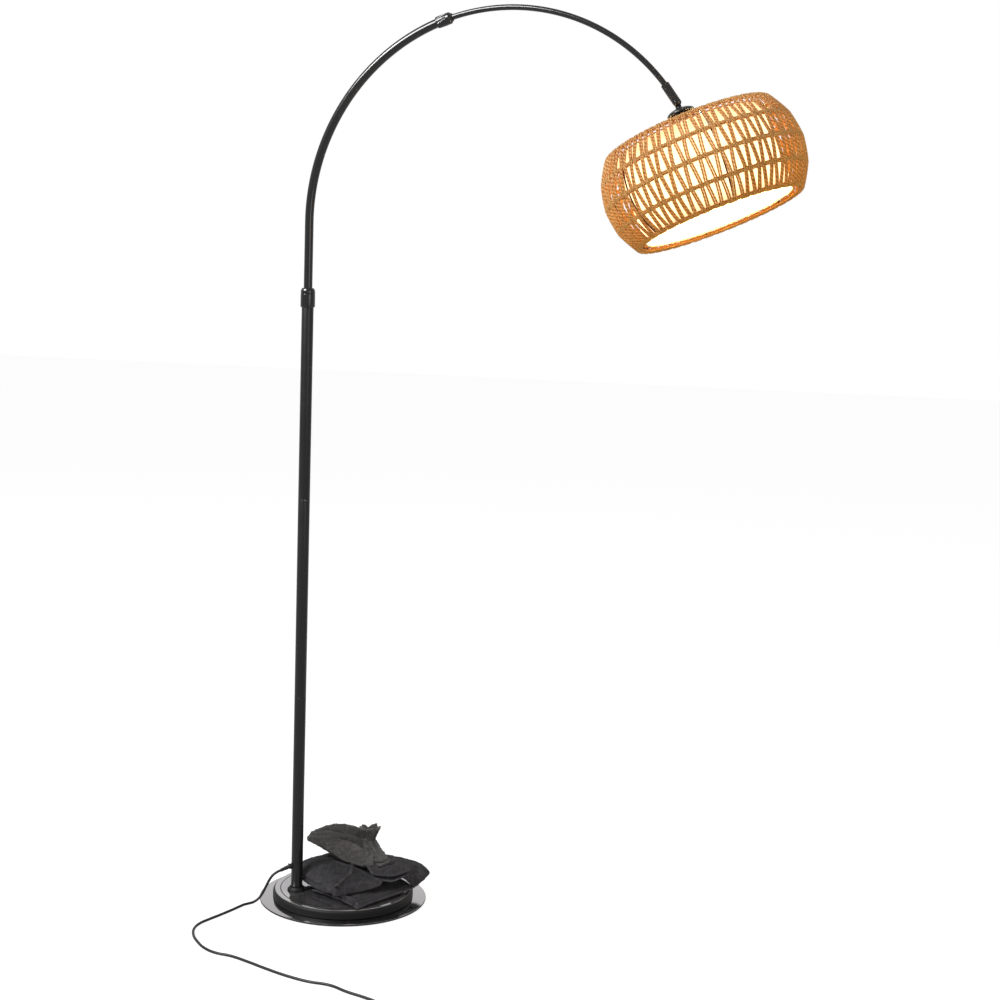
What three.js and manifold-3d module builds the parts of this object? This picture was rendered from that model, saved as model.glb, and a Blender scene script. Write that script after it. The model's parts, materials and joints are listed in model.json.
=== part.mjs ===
// Arc floor lamp with a woven rope shade: a round weighted base, a pole in three sections, a bent arm
// that telescopes in two stages, and a barrel shade with a fabric liner on a tilting joint.
// Lengths are millimetres and angles are degrees. The origin is on the floor under the centre of the
// base plate, +Z is up, and +X is the way that the arm reaches.
import * as THREE from "three";
import { mergeVertices } from "three/addons/utils/BufferGeometryUtils.js";
import Module from "manifold-3d";

const wasm = await Module();
wasm.setup();

// Clearances
const gap = 0.3; // between two pieces that touch
const turnGap = 0.5; // round a piece that turns in its seat
const runningGap = 0.9; // round the bent rod, whose flats swing as it slides
const overrun = 2; // how far a cutter reaches past a wall

// Numbers of sides
const bigSides = 30;
const tubeSides = 14;
const smallSides = 10;
const bentSides = 10;
const hexSides = 6;
const cornerSteps = 3; // in each rounded corner of a plan

// Base
const pad = { diameter: 300, thickness: 1.5 };
const plate = { diameter: 320, thickness: 3, edge: 0.8 };
const rim = { diameter: 270, width: 15, height: 16.5, outerRound: 6, innerRound: 2.5, arcSteps: 2 };
const topDisc = { thickness: 1.2, recess: 1.4 };
const plateScrew = {
  count: 3, circleShare: 0.62, turn: 100, head: 10, shank: 5, length: 12, headDepth: 2.3,
};
const stud = {
  diameter: 10, plugLength: 32, nutAcross: 16, nutHeight: 5.5, washer: 20, washerThickness: 1.5,
};
const flange = { diameter: 35, height: 7, lip: 2.5, round: 2 };

// Pole
const pole = { x: -76, y: -49, diameter: 22, wall: 1.2, sectionLength: 378, sections: 3 };
const ferrule = { length: 50, wall: 1.8 };
const lowerCollar = { diameter: 27, length: 36, chamfer: 10, topDiameter: 20, overlap: 20 };

// Bent arm
const arch = { diameter: 16, wall: 1.2, straightAbove: 121, inserted: 248, radius: 373.6, tubeEnd: 72 };
const rod = { diameter: 10, wall: 1, endAngle: 146.3, overlapAngle: 15.5 };
const slider = { length: 24, floor: 2.5, hole: 10 };
const rodBush = { length: 14, wall: 0.6, setBack: 3 };
const upperCollar = { diameter: 21, length: 30, chamfer: 6, wall: 1.6, tubeShare: 0.5 };
const archSteps = 18;
const rodSteps = 18;
const globeSteps = 5;
const noseSteps = 3;

// Tilting joint at the end of the arm
const sleeve = {
  diameter: 15, length: 38, boreStart: 13, rodStart: 15, slot: 4.8, slotDepth: 9, bow: 0.5, noseFrom: -60,
};
const pivot = { diameter: 4, head: 8, headHeight: 2.2, nutAcross: 7, nutHeight: 3 };
const tongue = { thickness: 4, round: 6.2, neckStart: 8.4, neck: 10, length: 24, bore: 5.5 };

// Lamp holder and bulb, measured down the shade's axis from the pivot
const cap = { start: 12, diameter: 48, depth: 9, wall: 1.5, domeShares: [0, 0.3, 0.6, 0.85, 1] };
const holder = { start: 14, diameter: 42, shoulder: 44.5, threadDiameter: 38, end: 70, floor: 8, wall: 3.5 };
const core = { thickness: 6 };
const screwShell = { length: 26, wall: 1.5 };
const contact = { diameter: 8, height: 1.6 };
const bulb = { capLength: 25, shoulder: 11.5, globe: 60, length: 80, wall: 1.2, neckShare: 0.43, from: 38 };
const clampRing = { diameter: 46, height: 8 };

// Shade, measured down the same axis
const shade = { tilt: 23.3, start: 47.7, height: 168.6, mouth: 292, belly: 354, thickness: 7 };
const weave = { rings: 5, cells: 34, ringWidth: 9, strand: 7.6 };
const frame = { wire: 3, ribs: 6, ribTurn: -67, wireSides: 4, hub: 52, hubHeight: 2, arms: 3, arm: 4 };
const liner = { diameter: 264, wall: 1, topInset: 12.5, bottomInset: 12, wire: 3, lugs: 3, lugShare: 0.7 };

// Ballast bags on the base: cloth pouches that lie on one another, the top one with a gathered neck
const bagGap = 0.35;
const cloth = { grid: 6, roundness: 2.6, pullShare: 0.06, levelShare: 0.45, seam: 4 };
const lowerBag = { length: 165, width: 118, thickness: 22, rise: 0, xShare: 0.4, yShare: -0.09, turn: 62 };
const upperBag = { length: 172, width: 112, thickness: 26, rise: 0, xShare: 0.04, yShare: -0.11, turn: 140 };
const sideFold = { length: 104, width: 92, thickness: 18, rise: 0, xShare: 0.79, yShare: 0.62, turn: -30 };
const flap = { length: 138, width: 88, thickness: 14, rise: 24, xShare: -0.13, yShare: 0.36, turn: -19 };
const neck = {
  diameter: 36, waist: 22, height: 44, settle: 1.8,
  xShare: 0.4, yShare: 0.36, leanXShare: -0.5, leanYShare: 0.7,
};

// Mains lead, foot switch and plug
const cord = { diameter: 5, sides: 8, steps: 56, floorGap: 0.1 };
const gland = {
  height: 73, turn: 221.2, fall: 20, hole: 9.2, flange: 12, flangeHeight: 2, tip: 6.4, relief: 18,
};
const cordSet = { x: 482.5, y: -458.8, turn: 19.8 };
const coil = {
  inner: 20, pitch: 5.5, layer: 5.5, turns: 5.5, tailIn: 22, tailOut: 14,
  sides: 6, steps: 24, crossing: 0.25,
};
const tailSteps = 2;
const footSwitch = {
  length: 60, width: 33, base: 9, cover: 8, corner: 13, port: 8.6, portLength: 8, wall: 2,
};
const button = { diameter: 17, stands: 3, lipWidth: 2, lipHeight: 1.5 };
const buttonSpring = { diameter: 9, wall: 1.2 };
const plug = {
  length: 28, width: 25, height: 16, corner: 6, bevel: 1.5, relief: 20, reliefEnd: 7, reliefStart: 12,
};
const blade = { length: 17, width: 6.4, thickness: 1.5, spacing: 12.7 };

// Finishes
const paint = (color, roughness, metalness) =>
  new THREE.MeshStandardMaterial({ color, roughness, metalness });
const blackPaint = paint(0x1d1d1f, 0.42, 0.5);
const greyGloss = paint(0x4a4848, 0.18, 0.6);
const blackPlastic = paint(0x161616, 0.5, 0);
const castIron = paint(0x3a3a3c, 0.75, 0.6);
const steel = paint(0xb4b6b8, 0.35, 0.9);
const nylon = paint(0xd8d6cc, 0.6, 0);
const brass = paint(0xc9a55a, 0.35, 0.9);
const ceramic = paint(0xe8e4da, 0.55, 0);
const rope = paint(0xb98a4e, 0.9, 0);
const brownPaint = paint(0x4a2a18, 0.5, 0.3);
const linen = paint(0xf3e6c8, 0.95, 0);
const opalGlass = paint(0xfff4d8, 0.3, 0);
const blackCloth = paint(0x232326, 0.95, 0);
const rubber = paint(0x101010, 0.8, 0);
const foam = paint(0x2a2a2a, 0.95, 0);

// Working values that follow from the sizes above
const radians = THREE.MathUtils.degToRad;
const half = 0.5;
const level = {};
level.padTop = pad.thickness;
level.plateBottom = level.padTop + gap;
level.plateTop = level.plateBottom + plate.thickness;
level.rimBottom = level.plateTop + gap;
level.rimTop = level.rimBottom + rim.height;
level.discTop = level.rimTop - topDisc.recess;
level.weightTop = level.discTop - topDisc.thickness - gap;
level.poleFoot = level.discTop + gap;
level.poleTop = level.poleFoot + pole.sections * pole.sectionLength;
level.collarBottom = level.poleTop - lowerCollar.overlap;
level.collarTop = level.collarBottom + lowerCollar.length;
level.archStart = level.collarTop + arch.straightAbove;
level.archFoot = level.collarTop - arch.inserted;

const rimOuter = rim.diameter * half;
const rimInner = rimOuter - rim.width;
const poleOuter = pole.diameter * half;
const poleInner = poleOuter - pole.wall;
const archOuter = arch.diameter * half;
const archInner = archOuter - arch.wall;
const rodOuter = rod.diameter * half;
const rodInner = rodOuter - rod.wall;

const root = new THREE.Group();
const mesh = (parent, name, geometry, material) => {
  const made = new THREE.Mesh(geometry, material);
  made.name = name;
  parent.add(made);
  return made;
};
const group = (parent, x, y, z) => {
  const made = new THREE.Group();
  made.position.set(x, y, z);
  parent.add(made);
  return made;
};

// Shape helpers
function facingOut(geometry) {
  const p = geometry.getAttribute("position");
  const index = geometry.index.array;
  const [a, b, c] = [new THREE.Vector3(), new THREE.Vector3(), new THREE.Vector3()];
  let volume = 0;
  for (let i = 0; i < index.length; i += 3) {
    a.fromBufferAttribute(p, index[i]);
    b.fromBufferAttribute(p, index[i + 1]);
    c.fromBufferAttribute(p, index[i + 2]);
    volume += a.dot(b.cross(c));
  }
  if (volume < 0) {
    for (let i = 0; i < index.length; i += 3) [index[i], index[i + 1]] = [index[i + 1], index[i]];
  }
  return geometry;
}

// A body turned round +Z from an outline of [radius, height] points, closed or ending on the axis.
function turned(outline, sides) {
  const points = outline.map(([r, z]) => new THREE.Vector2(r, z));
  const geometry = new THREE.LatheGeometry(points, sides).rotateX(Math.PI / 2);
  return facingOut(geometry);
}
const disc = (radius, z0, z1, sides) => turned([[0, z0], [radius, z0], [radius, z1], [0, z1]], sides);
const pipe = (inner, outer, z0, z1, sides) =>
  turned([[inner, z0], [outer, z0], [outer, z1], [inner, z1], [inner, z0]], sides);
const hexCorner = Math.cos(Math.PI / hexSides);
const hexNut = (bore, across, z0, z1) =>
  pipe(bore / hexCorner, (across * half) / hexCorner, z0, z1, hexSides);

// Points of an arc in an outline, round (cx, cy), from one angle to another.
function arcPoints(cx, cy, radius, from, to, steps) {
  return Array.from({ length: steps + 1 }, (_, i) => {
    const angle = radians(from + ((to - from) * i) / steps);
    return [cx + radius * Math.cos(angle), cy + radius * Math.sin(angle)];
  });
}

function solid(geometry) {
  const bare = geometry.clone();
  bare.deleteAttribute("normal");
  bare.deleteAttribute("uv");
  const merged = mergeVertices(bare);
  const vertProperties = merged.getAttribute("position").array;
  const triVerts = new Uint32Array(merged.index.array);
  return new wasm.Manifold(new wasm.Mesh({ numProp: 3, vertProperties, triVerts }));
}
function geometryOf(body) {
  const { vertProperties, triVerts, numProp } = body.getMesh();
  const positions = new Float32Array((vertProperties.length / numProp) * 3);
  for (let i = 0; i * numProp < vertProperties.length; i++) {
    const first = i * numProp;
    positions.set(vertProperties.subarray(first, first + 3), i * 3);
  }
  const geometry = new THREE.BufferGeometry();
  geometry.setAttribute("position", new THREE.BufferAttribute(positions, 3));
  geometry.setIndex(new THREE.BufferAttribute(triVerts, 1));
  return geometry;
}
const cut = (body, ...tools) =>
  geometryOf(tools.reduce((left, tool) => left.subtract(solid(tool)), solid(body)));
const join = (body, ...more) =>
  geometryOf(more.reduce((sum, next) => sum.add(solid(next)), solid(body)));

// A rounded rectangle, centred, as a THREE.Shape.
function roundedRectangle(length, width, corner) {
  const [x, y] = [length * half, width * half];
  const shape = new THREE.Shape();
  shape.moveTo(corner - x, -y);
  shape.lineTo(x - corner, -y);
  shape.absarc(x - corner, corner - y, corner, -Math.PI / 2, 0);
  shape.lineTo(x, y - corner);
  shape.absarc(x - corner, y - corner, corner, 0, Math.PI / 2);
  shape.lineTo(corner - x, y);
  shape.absarc(corner - x, y - corner, corner, Math.PI / 2, Math.PI);
  shape.lineTo(-x, corner - y);
  shape.absarc(corner - x, corner - y, corner, Math.PI, Math.PI * 1.5);
  return shape;
}
function ringShape(outer, inner) {
  const shape = new THREE.Shape().absarc(0, 0, outer, 0, 2 * Math.PI);
  if (inner > 0) shape.holes.push(new THREE.Path().absarc(0, 0, inner, 0, 2 * Math.PI, true));
  return shape;
}

// A curve that is sampled by its own parameter, not by its length.
class SteppedCurve extends THREE.Curve {
  constructor(pointAt) {
    super();
    this.pointAt = pointAt;
  }
  getPoint(t, target = new THREE.Vector3()) {
    return target.copy(this.pointAt(t));
  }
  getUtoTmapping(u) {
    return u;
  }
}
function swept(curve, outer, inner, steps, sides) {
  return new THREE.ExtrudeGeometry(ringShape(outer, inner), {
    steps,
    curveSegments: sides * half,
    extrudePath: curve,
  });
}

// The arm's centre line: angle 0 is the top of the straight part, and the angle grows along the arm.
const archCentre = new THREE.Vector3(pole.x + arch.radius, pole.y, level.archStart);
function onArch(angle) {
  const a = radians(angle);
  return new THREE.Vector3(-Math.cos(a), 0, Math.sin(a)).multiplyScalar(arch.radius).add(archCentre);
}
const arcAngle = (length) => THREE.MathUtils.radToDeg(length / arch.radius);
function atArch(angle) {
  const made = group(root, ...onArch(angle));
  made.rotation.y = radians(angle);
  return made;
}

// Base: foam pad, steel plate, cast weight with its moulded rim, and a gloss disc on top
function plateScrewSpots() {
  return Array.from({ length: plateScrew.count }, (_, i) => {
    const angle = radians(plateScrew.turn + (i * 360) / plateScrew.count);
    const radius = rimInner * plateScrew.circleShare;
    return [radius * Math.cos(angle), radius * Math.sin(angle)];
  });
}
function plateScrewBody() {
  const [head, shank] = [plateScrew.head * half, plateScrew.shank * half];
  const bottom = level.plateBottom + gap;
  const neckZ = bottom + plateScrew.headDepth;
  const top = bottom + plateScrew.length;
  return turned([[0, bottom], [head, bottom], [shank, neckZ], [shank, top], [0, top]], smallSides);
}
function plateScrewCutter() {
  const [head, shank] = [plateScrew.head * half + gap, plateScrew.shank * half + gap];
  const low = level.plateBottom - overrun;
  const bottom = level.plateBottom + gap;
  const neckZ = bottom + plateScrew.headDepth;
  const top = bottom + plateScrew.length + gap;
  return turned([[0, low], [head, low], [head, bottom], [shank, neckZ], [shank, top], [0, top]], smallSides);
}
function buildBase() {
  mesh(root, "floor_pad", disc(pad.diameter * half, 0, level.padTop, bigSides), foam);

  const edge = plate.diameter * half;
  const plateOutline = [
    [0, level.plateBottom],
    [edge - plate.edge, level.plateBottom],
    [edge, level.plateBottom + plate.edge],
    [edge, level.plateTop - plate.edge],
    [edge - plate.edge, level.plateTop],
    [0, level.plateTop],
  ];
  const screwHoles = plateScrewSpots().map(([x, y]) => plateScrewCutter().translate(x, y, 0));
  mesh(root, "base_plate", cut(turned(plateOutline, bigSides), ...screwHoles), greyGloss);
  plateScrewSpots().forEach(([x, y], i) => {
    mesh(group(root, x, y, 0), `plate_screw_${i + 1}`, plateScrewBody(), steel);
  });

  const recess = stud.nutHeight + stud.washerThickness + 2 * overrun;
  const studHole = disc(stud.diameter * half + gap, level.rimBottom - overrun, level.rimTop, smallSides);
  const recessRadius = stud.washer * half + gap;
  const nutRecess = disc(recessRadius, level.rimBottom - overrun, level.rimBottom + recess, tubeSides);
  const weight = disc(rimInner - gap, level.rimBottom, level.weightTop, bigSides);
  const atPole = (shape) => shape.translate(pole.x, pole.y, 0);
  mesh(root, "base_weight", cut(weight, atPole(studHole), atPole(nutRecess), ...screwHoles), castIron);

  const top = level.rimTop;
  const rimOutline = [
    [rimInner, level.rimBottom],
    [rimOuter - plate.edge, level.rimBottom],
    [rimOuter, level.rimBottom + plate.edge],
    ...arcPoints(rimOuter - rim.outerRound, top - rim.outerRound, rim.outerRound, 0, 90, rim.arcSteps),
    ...arcPoints(rimInner + rim.innerRound, top - rim.innerRound, rim.innerRound, 90, 180, rim.arcSteps),
    [rimInner, level.rimBottom],
  ];
  mesh(root, "base_rim", turned(rimOutline, bigSides), blackPlastic);

  const discBody = disc(rimInner - gap, level.weightTop + gap, level.discTop, bigSides);
  const discHole = disc(stud.diameter * half + gap, level.rimBottom, level.rimTop, smallSides);
  mesh(root, "base_top_disc", cut(discBody, atPole(discHole)), greyGloss);
}

// Pole: a threaded foot that is bolted through the weight, three sections on ferrules, and a foot flange
function buildPoleFoot(spot) {
  const r = stud.diameter * half;
  const washerTop = level.rimBottom + stud.nutHeight + stud.washerThickness + 2 * overrun - gap;
  const washerBottom = washerTop - stud.washerThickness;
  const nutTop = washerBottom - gap;
  const nutBottom = nutTop - stud.nutHeight;
  const plugTop = level.poleFoot + stud.plugLength;
  const foot = [
    [0, nutBottom - gap],
    [r, nutBottom - gap],
    [r, level.poleFoot],
    [poleInner - gap, level.poleFoot],
    [poleInner - gap, plugTop],
    [0, plugTop],
  ];
  mesh(spot, "pole_foot_stud", turned(foot, tubeSides), steel);
  mesh(spot, "stud_washer", pipe(r + gap, stud.washer * half, washerBottom, washerTop, tubeSides), steel);
  mesh(spot, "stud_nut", hexNut(r + gap, stud.nutAcross, nutBottom, nutTop), steel);

  const bottom = level.poleFoot;
  const outer = flange.diameter * half;
  const flangeOutline = [
    [poleOuter + gap, bottom],
    [outer, bottom],
    [outer, bottom + flange.lip],
    [outer - flange.round, bottom + flange.lip + flange.round],
    [poleOuter + flange.round + gap, bottom + flange.height],
    [poleOuter + gap, bottom + flange.height],
    [poleOuter + gap, bottom],
  ];
  mesh(spot, "pole_foot_flange", turned(flangeOutline, tubeSides), blackPlastic);
}
function glandDirection() {
  const flat = Math.cos(radians(gland.fall));
  const turn = radians(gland.turn);
  return new THREE.Vector3(flat * Math.cos(turn), flat * Math.sin(turn), -Math.sin(radians(gland.fall)));
}
const alongGland = (shape) => {
  const facing = new THREE.Quaternion().setFromUnitVectors(new THREE.Vector3(0, 0, 1), glandDirection());
  return shape.applyQuaternion(facing).translate(0, 0, gland.height);
};
function buildPole() {
  const spot = group(root, pole.x, pole.y, 0);
  buildPoleFoot(spot);
  const names = ["lower", "middle", "upper"];
  const seam = (i) => level.poleFoot + i * pole.sectionLength;
  for (let i = 0; i < pole.sections; i++) {
    const bottom = seam(i) + (i > 0 ? gap : 0);
    const body = pipe(poleInner, poleOuter, bottom, seam(i + 1), tubeSides);
    const hole = alongGland(disc(gland.hole * half, poleInner * half, pole.diameter, smallSides));
    mesh(spot, `pole_${names[i]}_section`, i === 0 ? cut(body, hole) : body, blackPaint);
  }
  const outer = poleInner - gap;
  for (let i = 1; i < pole.sections; i++) {
    const middle = seam(i);
    const reach = ferrule.length * half;
    const body = pipe(outer - ferrule.wall, outer, middle - reach, middle + reach, tubeSides);
    mesh(spot, `pole_ferrule_${i}`, body, steel);
  }

  // The lower collar screws down over the pole's top and squeezes a nylon collet round the arm's tube.
  const shoulder = level.collarTop - lowerCollar.chamfer;
  const bore = archOuter + runningGap;
  const collarOuter = lowerCollar.diameter * half;
  const collarOutline = [
    [poleOuter + turnGap, level.collarBottom],
    [collarOuter - gap, level.collarBottom],
    [collarOuter, level.collarBottom + gap],
    [collarOuter, shoulder],
    [lowerCollar.topDiameter * half, level.collarTop],
    [bore, level.collarTop],
    [bore, shoulder],
    [poleOuter + turnGap, shoulder],
    [poleOuter + turnGap, level.collarBottom],
  ];
  mesh(spot, "lower_collar", turned(collarOutline, tubeSides), blackPlastic);
  const collet = pipe(archOuter + turnGap, poleOuter - gap, level.poleTop + gap, shoulder - gap, tubeSides);
  mesh(spot, "lower_collet", collet, nylon);
}

// Bent arm: a tube that slides and turns in the pole, and a thinner rod that slides in the tube
function buildArch() {
  const foot = level.archFoot;
  const outer = poleInner - gap;
  const bore = archOuter + turnGap;
  const bottom = foot - slider.floor - gap;
  const sliderOutline = [
    [slider.hole * half, bottom],
    [outer, bottom],
    [outer, bottom + slider.length],
    [bore, bottom + slider.length],
    [bore, bottom + slider.floor],
    [slider.hole * half, bottom + slider.floor],
    [slider.hole * half, bottom],
  ];
  mesh(group(root, pole.x, pole.y, 0), "arch_slider", turned(sliderOutline, tubeSides), nylon);

  const low = new THREE.Vector3(pole.x, pole.y, foot);
  const pieces = archSteps + 1;
  const tubeLine = new SteppedCurve((t) => {
    const step = t * pieces;
    if (step < 1) return low.clone().lerp(onArch(0), step);
    return onArch(((step - 1) / archSteps) * arch.tubeEnd);
  });
  mesh(root, "arch_tube", swept(tubeLine, archOuter, archInner, pieces, bentSides), blackPaint);

  const tail = arch.tubeEnd - rod.overlapAngle;
  const tip = rod.endAngle - arcAngle(sleeve.rodStart);
  const rodLine = new SteppedCurve((t) => onArch(tail + (tip - tail) * t));
  mesh(root, "arm_rod", swept(rodLine, rodOuter, rodInner, rodSteps, bentSides), blackPaint);

  // The bush sits on the rod's first flat, so it runs along that flat.
  const flatEnd = onArch(tail + (tip - tail) / rodSteps);
  const along = (length) => onArch(tail).lerp(flatEnd, length / onArch(tail).distanceTo(flatEnd));
  const bushLine = new THREE.LineCurve3(along(rodBush.setBack), along(rodBush.setBack + rodBush.length));
  const bushInner = rodOuter + gap;
  mesh(root, "rod_end_bush", swept(bushLine, bushInner + rodBush.wall, bushInner, 1, bentSides), nylon);

  buildUpperCollar();
}
function buildUpperCollar() {
  const spot = atArch(arch.tubeEnd);
  const outer = upperCollar.diameter * half;
  const low = -upperCollar.length * upperCollar.tubeShare;
  const top = low + upperCollar.length;
  const shoulder = top - upperCollar.chamfer;
  const wide = archOuter + runningGap;
  const narrow = rodOuter + runningGap;
  const outline = [
    [wide, low],
    [outer, low],
    [outer, shoulder],
    [narrow + upperCollar.wall, top],
    [narrow, top],
    [narrow, shoulder],
    [wide, shoulder],
    [wide, low],
  ];
  mesh(spot, "upper_collar", turned(outline, smallSides), blackPlastic);
  mesh(spot, "upper_collet", pipe(narrow, archOuter, gap, shoulder - gap, smallSides), nylon);
}

// Tilting joint: a forked sleeve on the rod's end, a tongue that turns in it, and a pivot screw
const pivotPoint = onArch(rod.endAngle);
function buildTiltJoint(shadeSpot) {
  const back = onArch(rod.endAngle - arcAngle(sleeve.length)).sub(pivotPoint);
  const spot = group(root, ...pivotPoint);
  spot.rotation.y = Math.atan2(back.x, back.z);

  const r = sleeve.diameter * half;
  const bore = rodOuter + gap + sleeve.bow;
  const outline = [
    [0, -r],
    ...arcPoints(0, 0, r, sleeve.noseFrom, 0, noseSteps),
    [r, sleeve.length],
    [bore, sleeve.length],
    [bore, sleeve.boreStart],
    [0, sleeve.boreStart],
  ];
  const slot = new THREE.BoxGeometry(sleeve.diameter + overrun, sleeve.slot, r + sleeve.slotDepth + overrun);
  slot.translate(0, 0, (sleeve.slotDepth - r - overrun) * half);
  const hole = new THREE.CylinderGeometry(1, 1, 1, smallSides);
  const holeRadius = pivot.diameter * half + gap;
  hole.scale(holeRadius, sleeve.diameter + overrun, holeRadius);
  mesh(spot, "end_sleeve", cut(turned(outline, tubeSides), slot, hole), blackPaint);

  // The pivot screw runs along Y with its head outside one cheek and a nut outside the other.
  const screwSpot = group(spot, 0, 0, 0);
  screwSpot.rotation.x = Math.PI / 2;
  const side = r + gap;
  const pin = pivot.diameter * half;
  const head = pivot.head * half;
  const nutEnd = side + pivot.nutHeight;
  const screw = [
    [0, -side - pivot.headHeight],
    [head, -side - pivot.headHeight],
    [head, -side],
    [pin, -side],
    [pin, nutEnd],
    [0, nutEnd],
  ];
  mesh(screwSpot, "pivot_screw", turned(screw, smallSides), steel);
  mesh(screwSpot, "pivot_nut", hexNut(pin + gap, pivot.nutAcross, side, nutEnd - gap), steel);

  const neckRadius = tongue.neck * half;
  const plateBody = new THREE.CylinderGeometry(tongue.round, tongue.round, tongue.thickness, tubeSides);
  const web = new THREE.BoxGeometry(tongue.neck, tongue.thickness, tongue.neckStart + overrun);
  web.translate(0, 0, -(tongue.neckStart + overrun) * half);
  const nippleLow = -tongue.neckStart - tongue.length;
  const nipple = disc(neckRadius, nippleLow, -tongue.neckStart, tubeSides);
  const wireWay = disc(tongue.bore * half, nippleLow - overrun, -tongue.neckStart - overrun * 2, smallSides);
  const eye = new THREE.CylinderGeometry(1, 1, 1, smallSides);
  eye.scale(holeRadius, tongue.thickness + overrun, holeRadius);
  const body = join(plateBody, web, nipple);
  mesh(shadeSpot, "tilt_tongue", cut(body, wireWay, eye), blackPaint);
}

// Lamp holder: cap, body, core, threaded shell, contact, clamping ring and bulb
function buildHolder(spot) {
  const nipple = tongue.neck * half + gap;
  const z = (s) => -s;
  const capR = cap.diameter * half;
  const dome = (r, s, flat) =>
    cap.domeShares.map((share) => [nipple + (r - nipple) * share, z(s + flat * share ** 3)]);
  const outside = dome(capR, cap.start, cap.depth - cap.wall * 2);
  const inside = dome(capR - cap.wall, cap.start + cap.wall, cap.depth - cap.wall * 2).reverse();
  const rimZ = z(cap.start + cap.depth);
  const capOutline = [...outside, [capR, rimZ], [capR - cap.wall, rimZ], ...inside];
  capOutline.push(capOutline[0]);
  mesh(spot, "socket_cap", turned(capOutline, tubeSides), blackPaint);

  const bodyR = holder.diameter * half;
  const threadR = holder.threadDiameter * half;
  const boreR = threadR - holder.wall;
  const capRoom = capR - cap.wall * 2 - gap;
  const start = cap.start + cap.depth;
  const floorS = start + holder.floor - cap.wall;
  const body = [
    [nipple, z(holder.start + cap.wall)],
    [nipple * 2, z(holder.start + cap.wall)],
    [nipple * 2, z(start)],
    [Math.min(bodyR, capRoom), z(start)],
    [bodyR, z(start + overrun)],
    [bodyR, z(holder.shoulder)],
    [threadR, z(holder.shoulder)],
    [threadR, z(holder.end)],
    [boreR, z(holder.end)],
    [boreR, z(floorS)],
    [nipple, z(floorS)],
    [nipple, z(holder.start + cap.wall)],
  ];
  mesh(spot, "lamp_holder", turned(body, tubeSides), blackPlastic);

  const nippleEnd = tongue.neckStart + tongue.length;
  const coreTop = Math.max(floorS, nippleEnd) + gap;
  const coreEnd = coreTop + core.thickness;
  mesh(spot, "holder_core", disc(boreR - gap, z(coreTop), z(coreEnd), tubeSides), ceramic);
  const contactEnd = coreEnd + gap + contact.height;
  const contactBody = disc(contact.diameter * half, z(coreEnd + gap), z(contactEnd), smallSides);
  mesh(spot, "centre_contact", contactBody, brass);
  const shellOuter = boreR - gap;
  const shellInner = shellOuter - screwShell.wall;
  const shellTop = coreEnd + gap;
  const shellEnd = shellTop + screwShell.length;
  const shell = pipe(shellInner, shellOuter, z(shellTop), z(shellEnd), tubeSides);
  mesh(spot, "screw_shell", shell, brass);

  const ringTop = holder.shoulder + frame.hubHeight + 2 * gap;
  const ringEnd = ringTop + clampRing.height;
  const ring = pipe(threadR + gap, clampRing.diameter * half, z(ringTop), z(ringEnd), tubeSides);
  mesh(spot, "shade_clamp_ring", ring, blackPlastic);

  const capTop = contactEnd + gap;
  const bulbCapR = shellInner - gap;
  const capEnd = capTop + bulb.capLength;
  const bulbCap = [
    [0, z(capTop)],
    [contact.diameter * half, z(capTop)],
    [bulbCapR, z(capTop + contact.height * 2)],
    [bulbCapR, z(capEnd)],
    [0, z(capEnd)],
  ];
  mesh(spot, "bulb_cap", turned(bulbCap, tubeSides), steel);

  const ball = bulb.globe * half;
  const ballCentre = capEnd + gap + bulb.length - ball;
  const skin = (shrink) => {
    const r = ball - shrink;
    const neckR = ball * bulb.neckShare - shrink;
    return [[neckR, z(capEnd + gap)], [neckR, z(capEnd + gap + bulb.shoulder)]].concat(
      arcPoints(0, z(ballCentre), r, bulb.from, -90, globeSteps),
    );
  };
  const globe = [...skin(0), ...skin(bulb.wall).reverse()];
  globe.push(globe[0]);
  mesh(spot, "bulb_globe", turned(globe, tubeSides), opalGlass);
}

// Shade: its side is an arc, measured by an angle that is zero at the widest part
const bellyR = shade.belly * half;
const mouthR = shade.mouth * half;
const halfHeight = shade.height * half;
const bulge = bellyR - mouthR;
const sideRadius = (halfHeight ** 2 + bulge ** 2) / (2 * bulge);
const sideAngle = Math.asin(halfHeight / sideRadius);
const sideMiddle = -(shade.start + halfHeight);
const sideCentre = bellyR - sideRadius;
const sideR = (angle, inset) => sideCentre + (sideRadius - inset) * Math.cos(angle);
const sideZ = (angle, inset) => sideMiddle - (sideRadius - inset) * Math.sin(angle);

// The two edges of each ring row, from the top of the shade to its bottom, as angles on that arc.
function ringRowAngles() {
  const ringHalf = (weave.ringWidth * half) / sideRadius;
  const last = weave.rings - 1;
  return Array.from({ length: weave.rings }, (_, ring) => {
    const middle = -sideAngle + ringHalf + (ring * 2 * (sideAngle - ringHalf)) / last;
    return [middle - ringHalf, middle + ringHalf];
  }).flat();
}

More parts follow.
